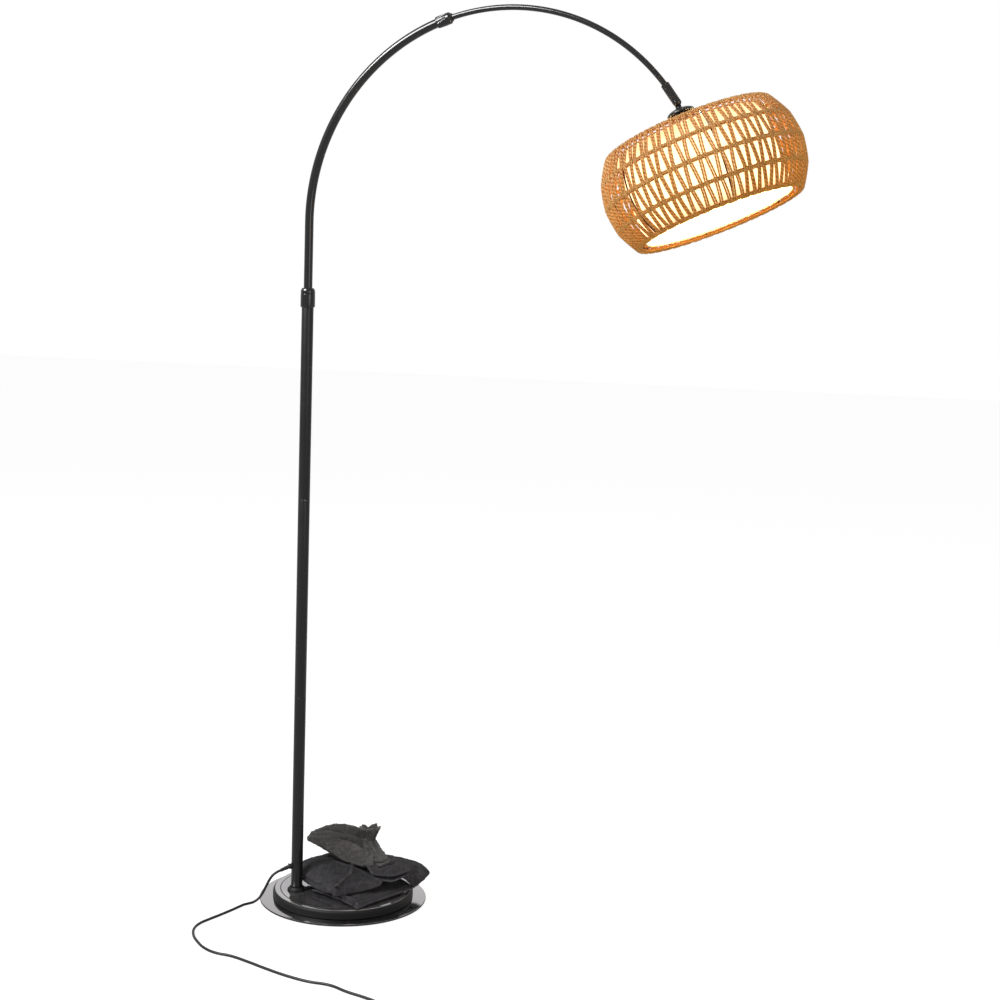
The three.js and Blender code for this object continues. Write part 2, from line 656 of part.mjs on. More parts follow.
// The weave is one lattice: ring rows of wrapped rope, with zigzag strands between them.
function weaveGeometry() {
  const cells = weave.cells;
  const around = 3 * cells;
  const period = (2 * Math.PI) / cells;
  const last = weave.rings - 1;
  const positions = [];
  for (const inset of [0, shade.thickness]) {
    ringRowAngles().forEach((angle, row) => {
      const strand = weave.strand / sideR(angle, 0);
      const r = sideR(angle, inset);
      for (let i = 0; i < cells; i++) {
        for (const along of [0, strand, period - strand]) {
          const turn = Math.floor(row * half) * period * half + i * period + along;
          positions.push(r * Math.cos(turn), r * Math.sin(turn), sideZ(angle, inset));
        }
      }
    });
  }
  const index = [];
  const rows = 2 * weave.rings;
  const at = (side, row, i) => (side * rows + row) * around + ((i + around) % around);
  const quad = (a, b, c, d) => index.push(a, b, c, a, c, d);
  const bothSides = (corners) => {
    quad(...corners.map(([row, i]) => at(0, row, i)));
    quad(...corners.map(([row, i]) => at(1, row, i)).reverse());
  };
  const wall = ([rowA, a], [rowB, b]) =>
    quad(at(0, rowA, a), at(0, rowB, b), at(1, rowB, b), at(1, rowA, a));
  for (let ring = 0; ring <= last; ring++) {
    for (let i = 0; i < around; i++) {
      bothSides([[2 * ring, i], [2 * ring + 1, i], [2 * ring + 1, i + 1], [2 * ring, i + 1]]);
      if (ring === 0) wall([0, i], [0, i + 1]);
      if (ring === last) wall([rows - 1, i + 1], [rows - 1, i]);
    }
  }
  for (let band = 0; band < last; band++) {
    const [top, low] = [2 * band + 1, 2 * band + 2];
    for (let i = 0; i < around; i += 3) {
      bothSides([[top, i], [low, i - 1], [low, i], [top, i + 1]]);
      bothSides([[top, i + 2], [low, i], [low, i + 1], [top, i + 3]]);
      const hanging = [[top, i + 1], [low, i], [top, i + 2]];
      const standing = [[top, i + 3], [low, i + 1], [low, i + 2]];
      for (const corners of [hanging, standing]) {
        corners.forEach((corner, k) => wall(corner, corners[(k + 1) % 3]));
      }
    }
  }
  const geometry = new THREE.BufferGeometry();
  geometry.setAttribute("position", new THREE.Float32BufferAttribute(positions, 3));
  geometry.setIndex(index);
  return facingOut(geometry);
}

// The wire frame: a spider of hub, arms and top ring, and under it a cage of ribs and bottom ring
const wireR = frame.wire * half;
const armR = frame.arm * half;
const wireInset = shade.thickness + gap * 2 + wireR;
const ribTurn = (i) => radians(frame.ribTurn) + (i * 2 * Math.PI) / frame.ribs;
const onSide = (angle) => new THREE.Vector3(sideR(angle, wireInset), 0, sideZ(angle, wireInset));
function frameRing(angle) {
  const ring = new THREE.TorusGeometry(sideR(angle, wireInset), wireR, frame.wireSides, bigSides);
  return ring.translate(0, 0, sideZ(angle, wireInset));
}
function ribLine(turn) {
  const points = ringRowAngles().map(onSide);
  const start = Math.max(wireR, armR) + gap;
  points[0].lerp(points[1], start / points[0].distanceTo(points[1]));
  const steps = points.length - 1;
  return new SteppedCurve((t) => {
    const low = Math.min(Math.floor(t * steps), steps - 1);
    const point = points[low].clone().lerp(points[low + 1], t * steps - low);
    return point.applyAxisAngle(new THREE.Vector3(0, 0, 1), turn);
  });
}
function ribCageGeometry() {
  const ribSteps = 2 * weave.rings - 1;
  const ribs = [];
  for (let i = 0; i < frame.ribs; i++) {
    ribs.push(swept(ribLine(ribTurn(i)), wireR, 0, ribSteps, frame.wireSides));
  }
  return join(frameRing(sideAngle), ...ribs);
}
function spiderGeometry() {
  const hubR = frame.hub * half;
  const hubTop = -(holder.shoulder + gap);
  const hubLow = hubTop - frame.hubHeight;
  const armStart = hubR - armR * half;
  const armFrom = new THREE.Vector3(armStart, 0, (hubTop + hubLow) * half);
  const parts = [pipe(holder.threadDiameter * half + gap, hubR, hubLow, hubTop, tubeSides)];
  for (let i = 0; i < frame.arms; i++) {
    const arm = swept(new THREE.LineCurve3(armFrom, onSide(-sideAngle)), armR, 0, 1, frame.wireSides);
    parts.push(arm.rotateZ(ribTurn((i * frame.ribs) / frame.arms)));
  }
  return join(frameRing(-sideAngle), ...parts);
}

// Each of the liner's wire rings has lugs that reach out to the ribs.
function linerRing(z) {
  const linerWireR = liner.wire * half;
  const ringR = liner.diameter * half - linerWireR;
  const ring = new THREE.TorusGeometry(ringR, linerWireR, frame.wireSides, bigSides).translate(0, 0, z);
  const angles = ringRowAngles();
  const row = angles.findIndex((angle) => onSide(angle).z < z);
  const [above, below] = [onSide(angles[row - 1]), onSide(angles[row])];
  const ribR = above.lerp(below, (above.z - z) / (above.z - below.z)).x;
  const reach = ribR - wireR / Math.cos(angles[row]) - gap * 2;
  const lugs = [];
  for (let i = 0; i < liner.lugs; i++) {
    const line = new THREE.LineCurve3(new THREE.Vector3(ringR, 0, z), new THREE.Vector3(reach, 0, z));
    const lug = swept(line, linerWireR * liner.lugShare, 0, 1, frame.wireSides);
    lugs.push(lug.rotateZ(ribTurn((i * frame.ribs) / liner.lugs)));
  }
  return join(ring, ...lugs);
}
function buildShade(spot) {
  mesh(spot, "shade_weave", weaveGeometry(), rope);
  mesh(spot, "shade_spider", spiderGeometry(), brownPaint);
  mesh(spot, "shade_rib_cage", ribCageGeometry(), brownPaint);
  const top = -(shade.start + liner.topInset);
  const bottom = -(shade.start + shade.height - liner.bottomInset);
  const outer = liner.diameter * half;
  mesh(spot, "shade_liner", pipe(outer - liner.wall, outer, bottom, top, bigSides), linen);
  const off = liner.wire * half + gap;
  mesh(spot, "liner_top_ring", linerRing(top + off), brownPaint);
  mesh(spot, "liner_bottom_ring", linerRing(bottom - off), brownPaint);
}

// How high the base and the bags on it are, at most, within a reach of (x, y).
const pile = [];
function pileTop(x, y, reach) {
  let top = level.rimTop;
  const steps = [-reach, -reach * half, 0, reach * half, reach];
  for (const dx of steps) {
    for (const dy of steps) {
      const from = new THREE.Vector3(x + dx, y + dy, level.poleTop);
      const [hit] = new THREE.Raycaster(from, new THREE.Vector3(0, 0, -1)).intersectObjects(pile);
      if (hit) top = Math.max(top, hit.point.z);
    }
  }
  return top + bagGap;
}

// A cloth pouch: its underside follows what it lies on, and it is fullest in the middle.
function pouch({ length, width, thickness, rise, xShare, yShare, turn }) {
  const n = cloth.grid;
  const swell = (a) => 1 - Math.abs(a) ** cloth.roundness;
  const places = [];
  for (let j = 0; j <= n; j++) {
    for (let i = 0; i <= n; i++) {
      const [u, v] = [(2 * i) / n - 1, (2 * j) / n - 1];
      const place = new THREE.Vector3(
        length * half * u * (1 - cloth.pullShare * (1 - v * v)),
        width * half * v * (1 - cloth.pullShare * (1 - u * u)),
        cloth.seam + (thickness - cloth.seam) * Math.sqrt(swell(u) * swell(v)) + rise * (v + 1) * half,
      );
      place.applyAxisAngle(new THREE.Vector3(0, 0, 1), radians(turn));
      places.push(place.add(new THREE.Vector3(rimInner * xShare, rimInner * yShare, 0)));
    }
  }
  const under = places.map(({ x, y }) => pileTop(x, y, length / n));
  const highest = Math.max(...under);
  const top = places.map(({ z }, k) => z + under[k] + (highest - under[k]) * cloth.levelShare);
  const layer = (heights) => heights.flatMap((z, k) => [places[k].x, places[k].y, z]);
  return pouchFaces([...layer(top), ...layer(under)], n);
}
function pouchFaces(positions, n) {
  const index = [];
  const at = (side, i, j) => side * (n + 1) ** 2 + j * (n + 1) + i;
  const quad = (a, b, c, d) => index.push(a, b, c, a, c, d);
  for (let j = 0; j < n; j++) {
    for (let i = 0; i < n; i++) {
      quad(at(0, i, j), at(0, i + 1, j), at(0, i + 1, j + 1), at(0, i, j + 1));
      quad(at(1, i, j), at(1, i, j + 1), at(1, i + 1, j + 1), at(1, i + 1, j));
    }
    quad(at(0, j, 0), at(1, j, 0), at(1, j + 1, 0), at(0, j + 1, 0));
    quad(at(0, j + 1, n), at(1, j + 1, n), at(1, j, n), at(0, j, n));
    quad(at(0, 0, j + 1), at(1, 0, j + 1), at(1, 0, j), at(0, 0, j));
    quad(at(0, n, j), at(1, n, j), at(1, n, j + 1), at(0, n, j + 1));
  }
  const geometry = new THREE.BufferGeometry();
  geometry.setAttribute("position", new THREE.Float32BufferAttribute(positions, 3));
  geometry.setIndex(index);
  return facingOut(geometry);
}
function buildBags() {
  pile.push(mesh(root, "lower_ballast_bag", pouch(lowerBag), blackCloth));
  pile.push(mesh(root, "bag_side_fold", pouch(sideFold), blackCloth));
  pile.push(mesh(root, "upper_ballast_bag", pouch(upperBag), blackCloth));
  pile.push(mesh(root, "bag_flap", pouch(flap), blackCloth));

  const [x, y] = [rimInner * neck.xShare, rimInner * neck.yShare];
  const [r, waist] = [neck.diameter * half, neck.waist * half];
  const up = new THREE.Vector3(0, 0, 1);
  const lean = new THREE.Vector3(neck.leanXShare, neck.leanYShare, 1).normalize();
  const spot = group(root, x, y, pileTop(x, y, r) + r * Math.sin(lean.angleTo(up)) - neck.settle);
  spot.quaternion.setFromUnitVectors(up, lean);
  const outline = [[0, 0], [r, 0], [waist, neck.height * half], [r, neck.height], [0, neck.height]];
  mesh(spot, "bag_neck", turned(outline, smallSides), blackCloth);
}

// Mains lead. The set that lies past the picture's edge has its own group: coil, foot switch and plug.
const setSpot = group(root, cordSet.x, cordSet.y, 0);
setSpot.rotation.z = radians(cordSet.turn);
const cordR = cord.diameter * half;
const floorZ = cordR + cord.floorGap;
const coilHalf = coil.turns * half;
const coilOuter = coil.inner + coil.pitch * coilHalf;
const portZ = footSwitch.port * half + cord.floorGap;
const switchX = -(coil.tailIn + footSwitch.portLength + footSwitch.length * half + gap);
const smooth = (t) => THREE.MathUtils.smoothstep(t, 0, 1);

// A place on the coil, by its turns from the middle: the lead winds in low down and out again on top.
function onCoil(turns) {
  const angle = Math.PI / 2 - 2 * Math.PI * (turns + coilHalf);
  const r = coil.inner + coil.pitch * Math.abs(turns);
  const climb = smooth((turns + coil.crossing) / (2 * coil.crossing));
  return new THREE.Vector3(r * Math.cos(angle), r * Math.sin(angle), floorZ + coil.layer * climb);
}
function coilLine(t) {
  const turnSteps = coil.turns * coil.steps;
  const step = t * (turnSteps + 2 * tailSteps);
  if (step < tailSteps) {
    const share = 1 - step / tailSteps;
    return new THREE.Vector3(-coil.tailIn * share, coilOuter, floorZ + (portZ - floorZ) * smooth(share));
  }
  if (step > tailSteps + turnSteps) {
    const share = (step - tailSteps - turnSteps) / tailSteps;
    const from = floorZ + coil.layer;
    const z = from + (plug.height * half - from) * smooth(share);
    return new THREE.Vector3(-coil.tailOut * share, -coilOuter, z);
  }
  return onCoil((step - tailSteps) / coil.steps - coilHalf);
}
function leastCoilGap() {
  const points = [];
  for (let i = 0; i <= coil.turns * coil.steps; i++) points.push(onCoil(i / coil.steps - coilHalf));
  let least = Infinity;
  points.forEach((p, i) => {
    for (const other of points.slice(i + coil.steps * half)) least = Math.min(least, p.distanceTo(other));
  });
  return least - cord.diameter;
}

// The lead's route on the floor, chosen by hand: [x, y] in millimetres
const floorRoute = [
  [-150, -119.5], [-153, -132], [-157, -153], [-164, -184], [-172, -215], [-177, -240], [-174, -265],
  [-160, -293], [-136, -320], [-108, -342], [-82, -352], [-50, -354], [-10, -365], [35, -380],
  [78, -392], [122, -399], [162, -398], [200, -411], [240, -421], [272, -433],
  [298, -450], [322, -464], [344, -468],
];
const fallRoute = [
  [-111, -79.7, 53.9], [-116.1, -84.1, 45.4], [-121.5, -88.8, 32], [-126.9, -93.5, 18.5],
  [-132, -98, 10], [-138.5, -104, 4.4], [-145.2, -111, 2.6],
];
function buildCord() {
  const spot = group(root, pole.x, pole.y, 0);
  const hole = gland.hole * half - gap;
  const fall = radians(gland.fall);
  const flangeAt = (poleOuter + gap + gland.flange * half * Math.sin(fall)) / Math.cos(fall);
  const reliefAt = flangeAt + gland.flangeHeight;
  const end = reliefAt + gland.relief;
  const bore = cordR + gap;
  const outline = [
    [bore, poleInner - gland.flangeHeight],
    [hole, poleInner - gland.flangeHeight],
    [hole, flangeAt],
    [gland.flange * half, flangeAt],
    [gland.flange * half, reliefAt],
    [hole, reliefAt],
    [gland.tip * half, end],
    [bore, end],
    [bore, poleInner - gland.flangeHeight],
  ];
  mesh(spot, "cord_strain_relief", alongGland(turned(outline, smallSides)), rubber);

  const out = glandDirection();
  const tip = new THREE.Vector3(pole.x, pole.y, gland.height).addScaledVector(out, end + gap);
  const ahead = tip.clone().addScaledVector(out, cord.diameter);
  root.updateMatrixWorld(true);
  const portX = switchX - footSwitch.length * half - footSwitch.portLength - gap;
  const port = setSpot.localToWorld(new THREE.Vector3(portX, coilOuter, portZ));
  const before = setSpot.localToWorld(new THREE.Vector3(portX - cord.diameter * 2, coilOuter, portZ));
  const points = [
    tip,
    ahead,
    ...fallRoute.map((p) => new THREE.Vector3(...p)),
    ...floorRoute.map(([x, y]) => new THREE.Vector3(x, y, floorZ)),
    before,
    port,
  ];
  const line = new THREE.CatmullRomCurve3(points);
  mesh(root, "mains_cord", swept(line, cordR, 0, cord.steps, cord.sides), rubber);

  const turnSteps = coil.turns * coil.steps + 2 * tailSteps;
  mesh(setSpot, "cord_coil", swept(new SteppedCurve(coilLine), cordR, 0, turnSteps, coil.sides), rubber);
  console.log(`cord coil: least gap to itself ${leastCoilGap().toFixed(2)} mm`);
}

// Foot switch: lower shell with a port at each end, domed cover, sprung button
function buildFootSwitch() {
  const spot = group(setSpot, switchX, coilOuter, 0);
  const { length, width, corner, wall } = footSwitch;
  const floorOf = cord.floorGap;
  const plan = roundedRectangle(length, width, corner);
  const options = (depth) => ({ depth, bevelEnabled: false, curveSegments: cornerSteps });
  const lower = new THREE.ExtrudeGeometry(plan, options(footSwitch.base)).translate(0, 0, floorOf);
  const portSpan = length + 2 * footSwitch.portLength;
  const port = new THREE.CylinderGeometry(1, 1, 1, smallSides).rotateZ(Math.PI / 2);
  port.scale(portSpan, footSwitch.port * half, footSwitch.port * half).translate(0, 0, portZ);
  const well = new THREE.ExtrudeGeometry(
    roundedRectangle(length - 4 * wall, width - 2 * wall, corner - wall),
    options(footSwitch.base),
  ).translate(0, 0, floorOf + wall);
  const nearTop = floorOf + footSwitch.base;
  const joined = join(lower, port);
  mesh(spot, "foot_switch_base", cut(joined, well), blackPlastic);

  const coverLow = nearTop + gap;
  const bevel = footSwitch.cover * half;
  const coverPlan = roundedRectangle(length - 2 * bevel, width - 2 * bevel, corner - bevel);
  const dome = new THREE.ExtrudeGeometry(coverPlan, {
    depth: bevel,
    bevelEnabled: true,
    bevelThickness: bevel,
    bevelSize: bevel,
    bevelSegments: 2,
    curveSegments: cornerSteps,
  });
  const cutBelow = new THREE.BoxGeometry(length * 2, width * 2, length);
  cutBelow.translate(0, 0, coverLow - length * half);
  const top = coverLow + footSwitch.cover;
  dome.translate(0, 0, top - 2 * bevel);
  const buttonR = button.diameter * half;
  const lipR = buttonR + button.lipWidth;
  const buttonHole = disc(buttonR + gap, coverLow - overrun, top + overrun, tubeSides);
  const lipRoomTop = top - wall;
  const lipRoom = disc(lipR + gap, coverLow - overrun, lipRoomTop, tubeSides);
  mesh(spot, "foot_switch_cover", cut(dome, cutBelow, buttonHole, lipRoom), blackPlastic);

  const lipTop = lipRoomTop - gap;
  const lipLow = lipTop - button.lipHeight;
  const buttonTop = top + button.stands;
  const round = button.lipHeight;
  const outline = [
    [0, lipLow],
    [lipR, lipLow],
    [lipR, lipTop],
    [buttonR, lipTop],
    [buttonR, buttonTop - round],
    [buttonR - round, buttonTop],
    [0, buttonTop],
  ];
  mesh(spot, "switch_button", turned(outline, tubeSides), blackPlastic);
  const springR = buttonSpring.diameter * half;
  const spring = pipe(springR - buttonSpring.wall, springR, floorOf + wall + gap, lipLow - gap, smallSides);
  mesh(spot, "button_spring", spring, steel);
}

// Plug: moulded body with its strain relief, and two flat blades
function buildPlug() {
  const spot = group(setSpot, -(coil.tailOut + gap), -coilOuter, plug.height * half);
  const face = plug.relief + plug.length;
  const inset = 2 * plug.bevel;
  const section = roundedRectangle(plug.height - inset, plug.width - inset, plug.corner - plug.bevel);
  const body = new THREE.ExtrudeGeometry(section, {
    depth: plug.length - inset,
    bevelEnabled: true,
    bevelThickness: plug.bevel,
    bevelSize: plug.bevel,
    bevelSegments: 1,
    curveSegments: cornerSteps,
  }).translate(0, 0, plug.relief + plug.bevel);
  const reliefOutline = [
    [0, 0],
    [plug.reliefEnd * half, 0],
    [plug.reliefStart * half, plug.relief + inset],
    [0, plug.relief + inset],
  ];
  const relief = turned(reliefOutline, smallSides);
  const pocket = (side) => {
    const box = new THREE.BoxGeometry(blade.thickness + 2 * gap, blade.width + 2 * gap, plug.length);
    return box.translate(0, side * blade.spacing * half, face);
  };
  // The plug's own axis runs along -X of the set.
  const facing = group(spot, 0, 0, 0);
  facing.rotation.y = -Math.PI / 2;
  mesh(facing, "plug_body", cut(join(body, relief), pocket(1), pocket(-1)), rubber);
  const start = face - plug.length * half + gap;
  ["left", "right"].forEach((name, i) => {
    const outline = roundedRectangle(blade.width, face + blade.length - start, blade.thickness);
    const options = { depth: blade.thickness, bevelEnabled: false, curveSegments: cornerSteps };
    const pin = new THREE.ExtrudeGeometry(outline, options);
    pin.rotateY(Math.PI / 2).rotateX(Math.PI / 2);
    const middle = (start + face + blade.length) * half;
    pin.translate(-blade.thickness * half, (i - half) * blade.spacing, middle);
    mesh(facing, `plug_blade_${name}`, pin, brass);
  });
}

buildBase();
buildPole();
buildArch();
const shadeSpot = group(root, ...pivotPoint);
shadeSpot.rotation.y = -radians(shade.tilt);
buildTiltJoint(shadeSpot);
buildHolder(shadeSpot);
buildShade(shadeSpot);
buildBags();
buildCord();
buildFootSwitch();
buildPlug();

export default root;
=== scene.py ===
# Arc floor lamp with a woven rope shade, all lengths in metres
import json
import math
import random
import bmesh
import bpy
from mathutils import Matrix, Vector, noise
from mathutils.bvhtree import BVHTree

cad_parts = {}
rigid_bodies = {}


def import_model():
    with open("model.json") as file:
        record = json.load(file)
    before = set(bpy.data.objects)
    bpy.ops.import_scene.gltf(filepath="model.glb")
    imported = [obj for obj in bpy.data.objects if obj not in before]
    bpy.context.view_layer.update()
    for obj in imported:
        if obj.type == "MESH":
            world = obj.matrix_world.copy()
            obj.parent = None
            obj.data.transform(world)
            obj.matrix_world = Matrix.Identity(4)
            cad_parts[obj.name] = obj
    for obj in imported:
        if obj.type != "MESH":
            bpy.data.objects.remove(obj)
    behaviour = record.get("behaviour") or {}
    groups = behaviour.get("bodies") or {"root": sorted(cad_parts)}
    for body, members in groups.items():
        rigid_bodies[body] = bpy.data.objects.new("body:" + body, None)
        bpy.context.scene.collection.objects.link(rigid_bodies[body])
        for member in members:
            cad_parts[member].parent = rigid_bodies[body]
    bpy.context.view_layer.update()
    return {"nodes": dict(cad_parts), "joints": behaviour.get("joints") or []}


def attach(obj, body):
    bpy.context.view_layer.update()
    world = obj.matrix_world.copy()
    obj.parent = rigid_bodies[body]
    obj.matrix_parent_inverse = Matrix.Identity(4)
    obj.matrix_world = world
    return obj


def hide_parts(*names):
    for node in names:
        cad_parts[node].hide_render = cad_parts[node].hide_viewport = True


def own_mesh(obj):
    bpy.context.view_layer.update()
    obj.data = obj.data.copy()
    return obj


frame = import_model()
scene = bpy.context.scene
scene.view_settings.view_transform = "Standard"
up = Vector((0, 0, 1))
print("frame loaded")


# Materials
def feed(material, node, inputs):
    # Each named input is linked to another node's output, or set to a value.
    for name, value in inputs.items():
        if isinstance(value, bpy.types.NodeSocket):
            material.node_tree.links.new(value, node.inputs[name])
        else:
            node.inputs[name].default_value = value
    return node


def addNode(material, kind, inputs=None, **settings):
    node = material.node_tree.nodes.new("ShaderNode" + kind)
    for name, value in settings.items():
        setattr(node, name, value)
    return feed(material, node, inputs or {})


def objectPlace(material):
    return addNode(material, "TexCoord").outputs["Object"]


def split(material, source):
    return addNode(material, "SeparateXYZ", {"Vector": source}).outputs


def cloud(material, scale, detail=2, roughness=0.5):
    inputs = {"Vector": objectPlace(material), "Scale": scale, "Detail": detail, "Roughness": roughness}
    return addNode(material, "TexNoise", inputs).outputs["Fac"]


def reckon(material, operation, *values):
    return addNode(material, "Math", dict(enumerate(values)), operation=operation).outputs["Value"]


def mapped(material, source, before=(0, 1), after=(0, 1)):
    # The range before is stretched to the range after, and what lies outside is clamped.
    inputs = {"Value": source, "From Min": before[0], "From Max": before[1]}
    inputs.update({"To Min": after[0], "To Max": after[1]})
    return addNode(material, "MapRange", inputs).outputs["Result"]


def ramp(material, source, stops):
    node = addNode(material, "ValToRGB", {"Fac": source})
    elements = node.color_ramp.elements
    while len(elements) < len(stops):
        elements.new(0.5)
    for element, (place, colour) in zip(elements, stops):
        element.position = place
        element.color = (*colour, 1)
    return node.outputs["Color"]


def bumped(material, source, strength, depth):
    return addNode(material, "Bump",
                   {"Height": source, "Strength": strength, "Distance": depth}).outputs["Normal"]


def newMaterial(name, colour, roughness, more=None):
    material = bpy.data.materials.new(name)
    material.use_nodes = True
    shader = material.node_tree.nodes["Principled BSDF"]
    feed(material, shader, {"Base Color": (*colour, 1), "Roughness": roughness, **(more or {})})
    return material, shader


def grain(material, shader, scale, strength, depth, spread=None):
    # Fine surface noise as bump, and a slow change of the roughness.
    feed(material, shader, {"Normal": bumped(material, cloud(material, scale, 3), strength, depth)})
    if spread:
        feed(material, shader, {"Roughness": mapped(material, cloud(material, scale * 0.04), after=spread)})


def plainFinish(name, colour, roughness, metal, scale, strength, depth, spread=None, gloss=0.5):
    material, shader = newMaterial(name, colour, roughness, {"Metallic": metal, "Specular IOR Level": gloss})
    grain(material, shader, scale, strength, depth, spread)
    shades = [(0.3, [c * 0.85 for c in colour]), (0.7, [c * 1.12 for c in colour])]
    feed(material, shader, {"Base Color": ramp(material, cloud(material, 14), shades)})
    return material


# Colour, roughness, metal, scale, strength and depth of the grain, range of the roughness, gloss
plainLooks = {
    "satinBlack": ((0.0075, 0.007, 0.0075), 0.2, 0, 1400, 0.01, 0.0001, (0.15, 0.2), 0.28),
    "poleBlack": ((0.0075, 0.007, 0.0075), 0.36, 0, 1400, 0.12, 0.0002, (0.3, 0.42), 0.2),
    "mouldedBlack": ((0.004, 0.004, 0.004), 0.55, 0, 900, 0.2, 0.0003, (0.48, 0.62), 0.12),
    "glossDisc": ((0.42, 0.41, 0.42), 0.06, 0.9, 60, 0.05, 0.0006, (0.04, 0.1)),
    "castIron": ((0.08, 0.08, 0.085), 0.8, 0.6, 240, 0.5, 0.0008),
    "zinc": ((0.5, 0.5, 0.5), 0.35, 0.9, 500, 0.1, 0.0002, (0.25, 0.45)),
    "brass": ((0.62, 0.42, 0.16), 0.3, 0.95, 500, 0.08, 0.0002, (0.22, 0.4)),
    "nylon": ((0.6, 0.59, 0.53), 0.5, 0, 500, 0.1, 0.0003),
    "porcelain": ((0.75, 0.73, 0.68), 0.6, 0, 300, 0.15, 0.0003),
    "foam": ((0.02, 0.02, 0.02), 0.95, 0, 1200, 0.8, 0.0008),
    "rubber": ((0.004, 0.004, 0.004), 0.42, 0, 700, 0.12, 0.0002, (0.36, 0.5), 0.22),
    "brownWire": ((0.05, 0.02, 0.009), 0.4, 0.2, 900, 0.15, 0.0002),
    "linenWire": ((0.5, 0.28, 0.12), 0.8, 0, 900, 0.15, 0.0002),
}
finish = {name: plainFinish(name, *look) for name, look in plainLooks.items()}
joints = {joint["name"]: joint for joint in frame["joints"]}
pivotPoint = Vector(joints["shade_tilt"]["pos_m"])
shadeTilt = math.radians(23.3)


def shadeHeight(material):
    # How far down the shade's own axis a point is, in metres from the tilt axis.
    inputs = {"Vector": objectPlace(material), "Location": pivotPoint, "Rotation": (0, -shadeTilt, 0)}
    return split(material, addNode(material, "Mapping", inputs, vector_type="TEXTURE").outputs["Vector"])["Z"]


def ropeFinish():
    # Twisted paper cord: UV holds turns round the cord and length along it in metres.
    look = {
        "dark": (0.25, 0.085, 0.017), "middle": (0.64, 0.3, 0.08), "light": (0.92, 0.6, 0.25),
        "lowPaintedShade": (0.92, 0.8, 0.48), "midPaintedLight": (1, 0.98, 0.82), "highPaintedLight": (1.08, 1.1, 1.15),
        "lay": 260, "twist": 0.14, "fibre": 420, "ends": (-0.2163, -0.0477), "bump": 0.6, "relief": 0.0008,
        "through": 0.15, "warm": (1, 0.5, 0.1, 1),
    }
    material, shader = newMaterial("ropeCord", (0.5, 0.3, 0.14), 0.8, {"Specular IOR Level": 0.2})
    around, along = split(material, addNode(material, "TexCoord").outputs["UV"])[:2]
    turns = reckon(material, "MULTIPLY_ADD", along, look["lay"], around)
    wave = reckon(material, "SINE", reckon(material, "MULTIPLY", turns, math.tau))
    twistShadeAndFibres = reckon(material, "MULTIPLY_ADD", wave, look["twist"], cloud(material, look["fibre"], 4, 0.65))
    # The twist is painted in bands, dark in its grooves as painted shade and lighter on the plies between,
    # over fibre noise.
    cords = ramp(material, twistShadeAndFibres, [(0.25, look["dark"]), (0.48, look["middle"]), (0.75, look["light"])])
    # The cord is painted lighter towards the shade's top and darker and warmer towards its bottom, as painted
    # light and shade.
    down = mapped(material, shadeHeight(material), look["ends"])
    paintedLightAndShade = ramp(material, down, [(0.05, look["lowPaintedShade"]), (0.45, look["midPaintedLight"]), (0.9, look["highPaintedLight"])])
    both = addNode(material, "MixRGB", {"Fac": 1, "Color1": cords, "Color2": paintedLightAndShade}, blend_type="MULTIPLY")
    relief = bumped(material, twistShadeAndFibres, look["bump"], look["relief"])
    feed(material, shader, {"Base Color": both.outputs["Color"], "Normal": relief})
    # The cord lets some of the lamp's light through.
    through = addNode(material, "BsdfTranslucent", {"Color": look["warm"]})
    inputs = {"Fac": look["through"], 1: shader.outputs["BSDF"], 2: through.outputs["BSDF"]}
    surface = addNode(material, "MixShader", inputs).outputs["Shader"]
    feed(material, material.node_tree.nodes["Material Output"], {"Surface": surface})
    return material


def linerFinish():
    # Thin cream cloth with the lit bulb behind it: it glows, a little less near its two edges.
    middle, edge, ends = (2.4, 1.55, 0.8), (1.3, 0.8, 0.4), (-0.2043, -0.0602)
    material, shader = newMaterial("linerCloth", (0.4, 0.34, 0.25), 0.9, {"Emission Strength": 1})
    stops = [(0, edge), (0.14, middle), (0.78, middle), (1, edge)]
    glow = ramp(material, mapped(material, shadeHeight(material), ends), stops)
    feed(material, shader, {"Emission Color": glow})
    grain(material, shader, 900, 0.15, 0.0003)
    return material


def edgedFinish(name, look):
    # A polished top face over a matt black edge: the height on the piece tells them apart.
    material, shader = newMaterial(name, look["matt"], 0.5, {"Specular IOR Level": 0.12})
    grain(material, shader, 900, 0.04, 0.0002)
    top = mapped(material, split(material, objectPlace(material))["Z"], look["heights"])
    feed(material, shader, {
        "Base Color": ramp(material, top, [(0, look["matt"]), (1, look["polished"])]),
        "Roughness": mapped(material, top, after=look["rough"]),
        "Metallic": mapped(material, top, after=(0, look["metal"])),
    })
    return material


def clothFinish(name, look):
    # Charcoal sandbag cloth: a plain weave with a soft sheen; creases lighter on ridges as wear and painted
    # highlight, darker in hollows as painted shade.
    more = {"Specular IOR Level": look["gloss"], "Sheen Weight": 0.02, "Sheen Roughness": 0.5}
    material, shader = newMaterial(name, look["middle"], look["rough"], more)
    threads = []
    for direction in ("X", "Y"):
        inputs = {"Vector": objectPlace(material), "Scale": 700, "Distortion": 1.5}
        threads.append(addNode(material, "TexWave", inputs, bands_direction=direction).outputs["Fac"])
    creases = cloud(material, look["creases"], 6, 0.6)
    height = reckon(material, "MULTIPLY_ADD", reckon(material, "MULTIPLY", *threads), 0.25, creases)
    colours = ramp(material, creases, [(0.3, look["dark"]), (0.58, look["middle"]), (0.85, look["light"])])
    # Folds are painted light on their ridges, partly as wear and partly as painted highlight, and dark in
    # their hollows as painted shade.
    form = addNode(material, "Attribute", attribute_name="wear").outputs["Fac"]
    wearAndShadeScale = mapped(material, form, (0.2, 0.8), (0.25, look["wearAndShadeScale"]))
    both = addNode(material, "VectorMath", {"Vector": colours, "Scale": wearAndShadeScale}, operation="SCALE")
    relief = bumped(material, height, 0.5, look["relief"])
    feed(material, shader, {"Base Color": both.outputs["Vector"], "Normal": relief})
    return material


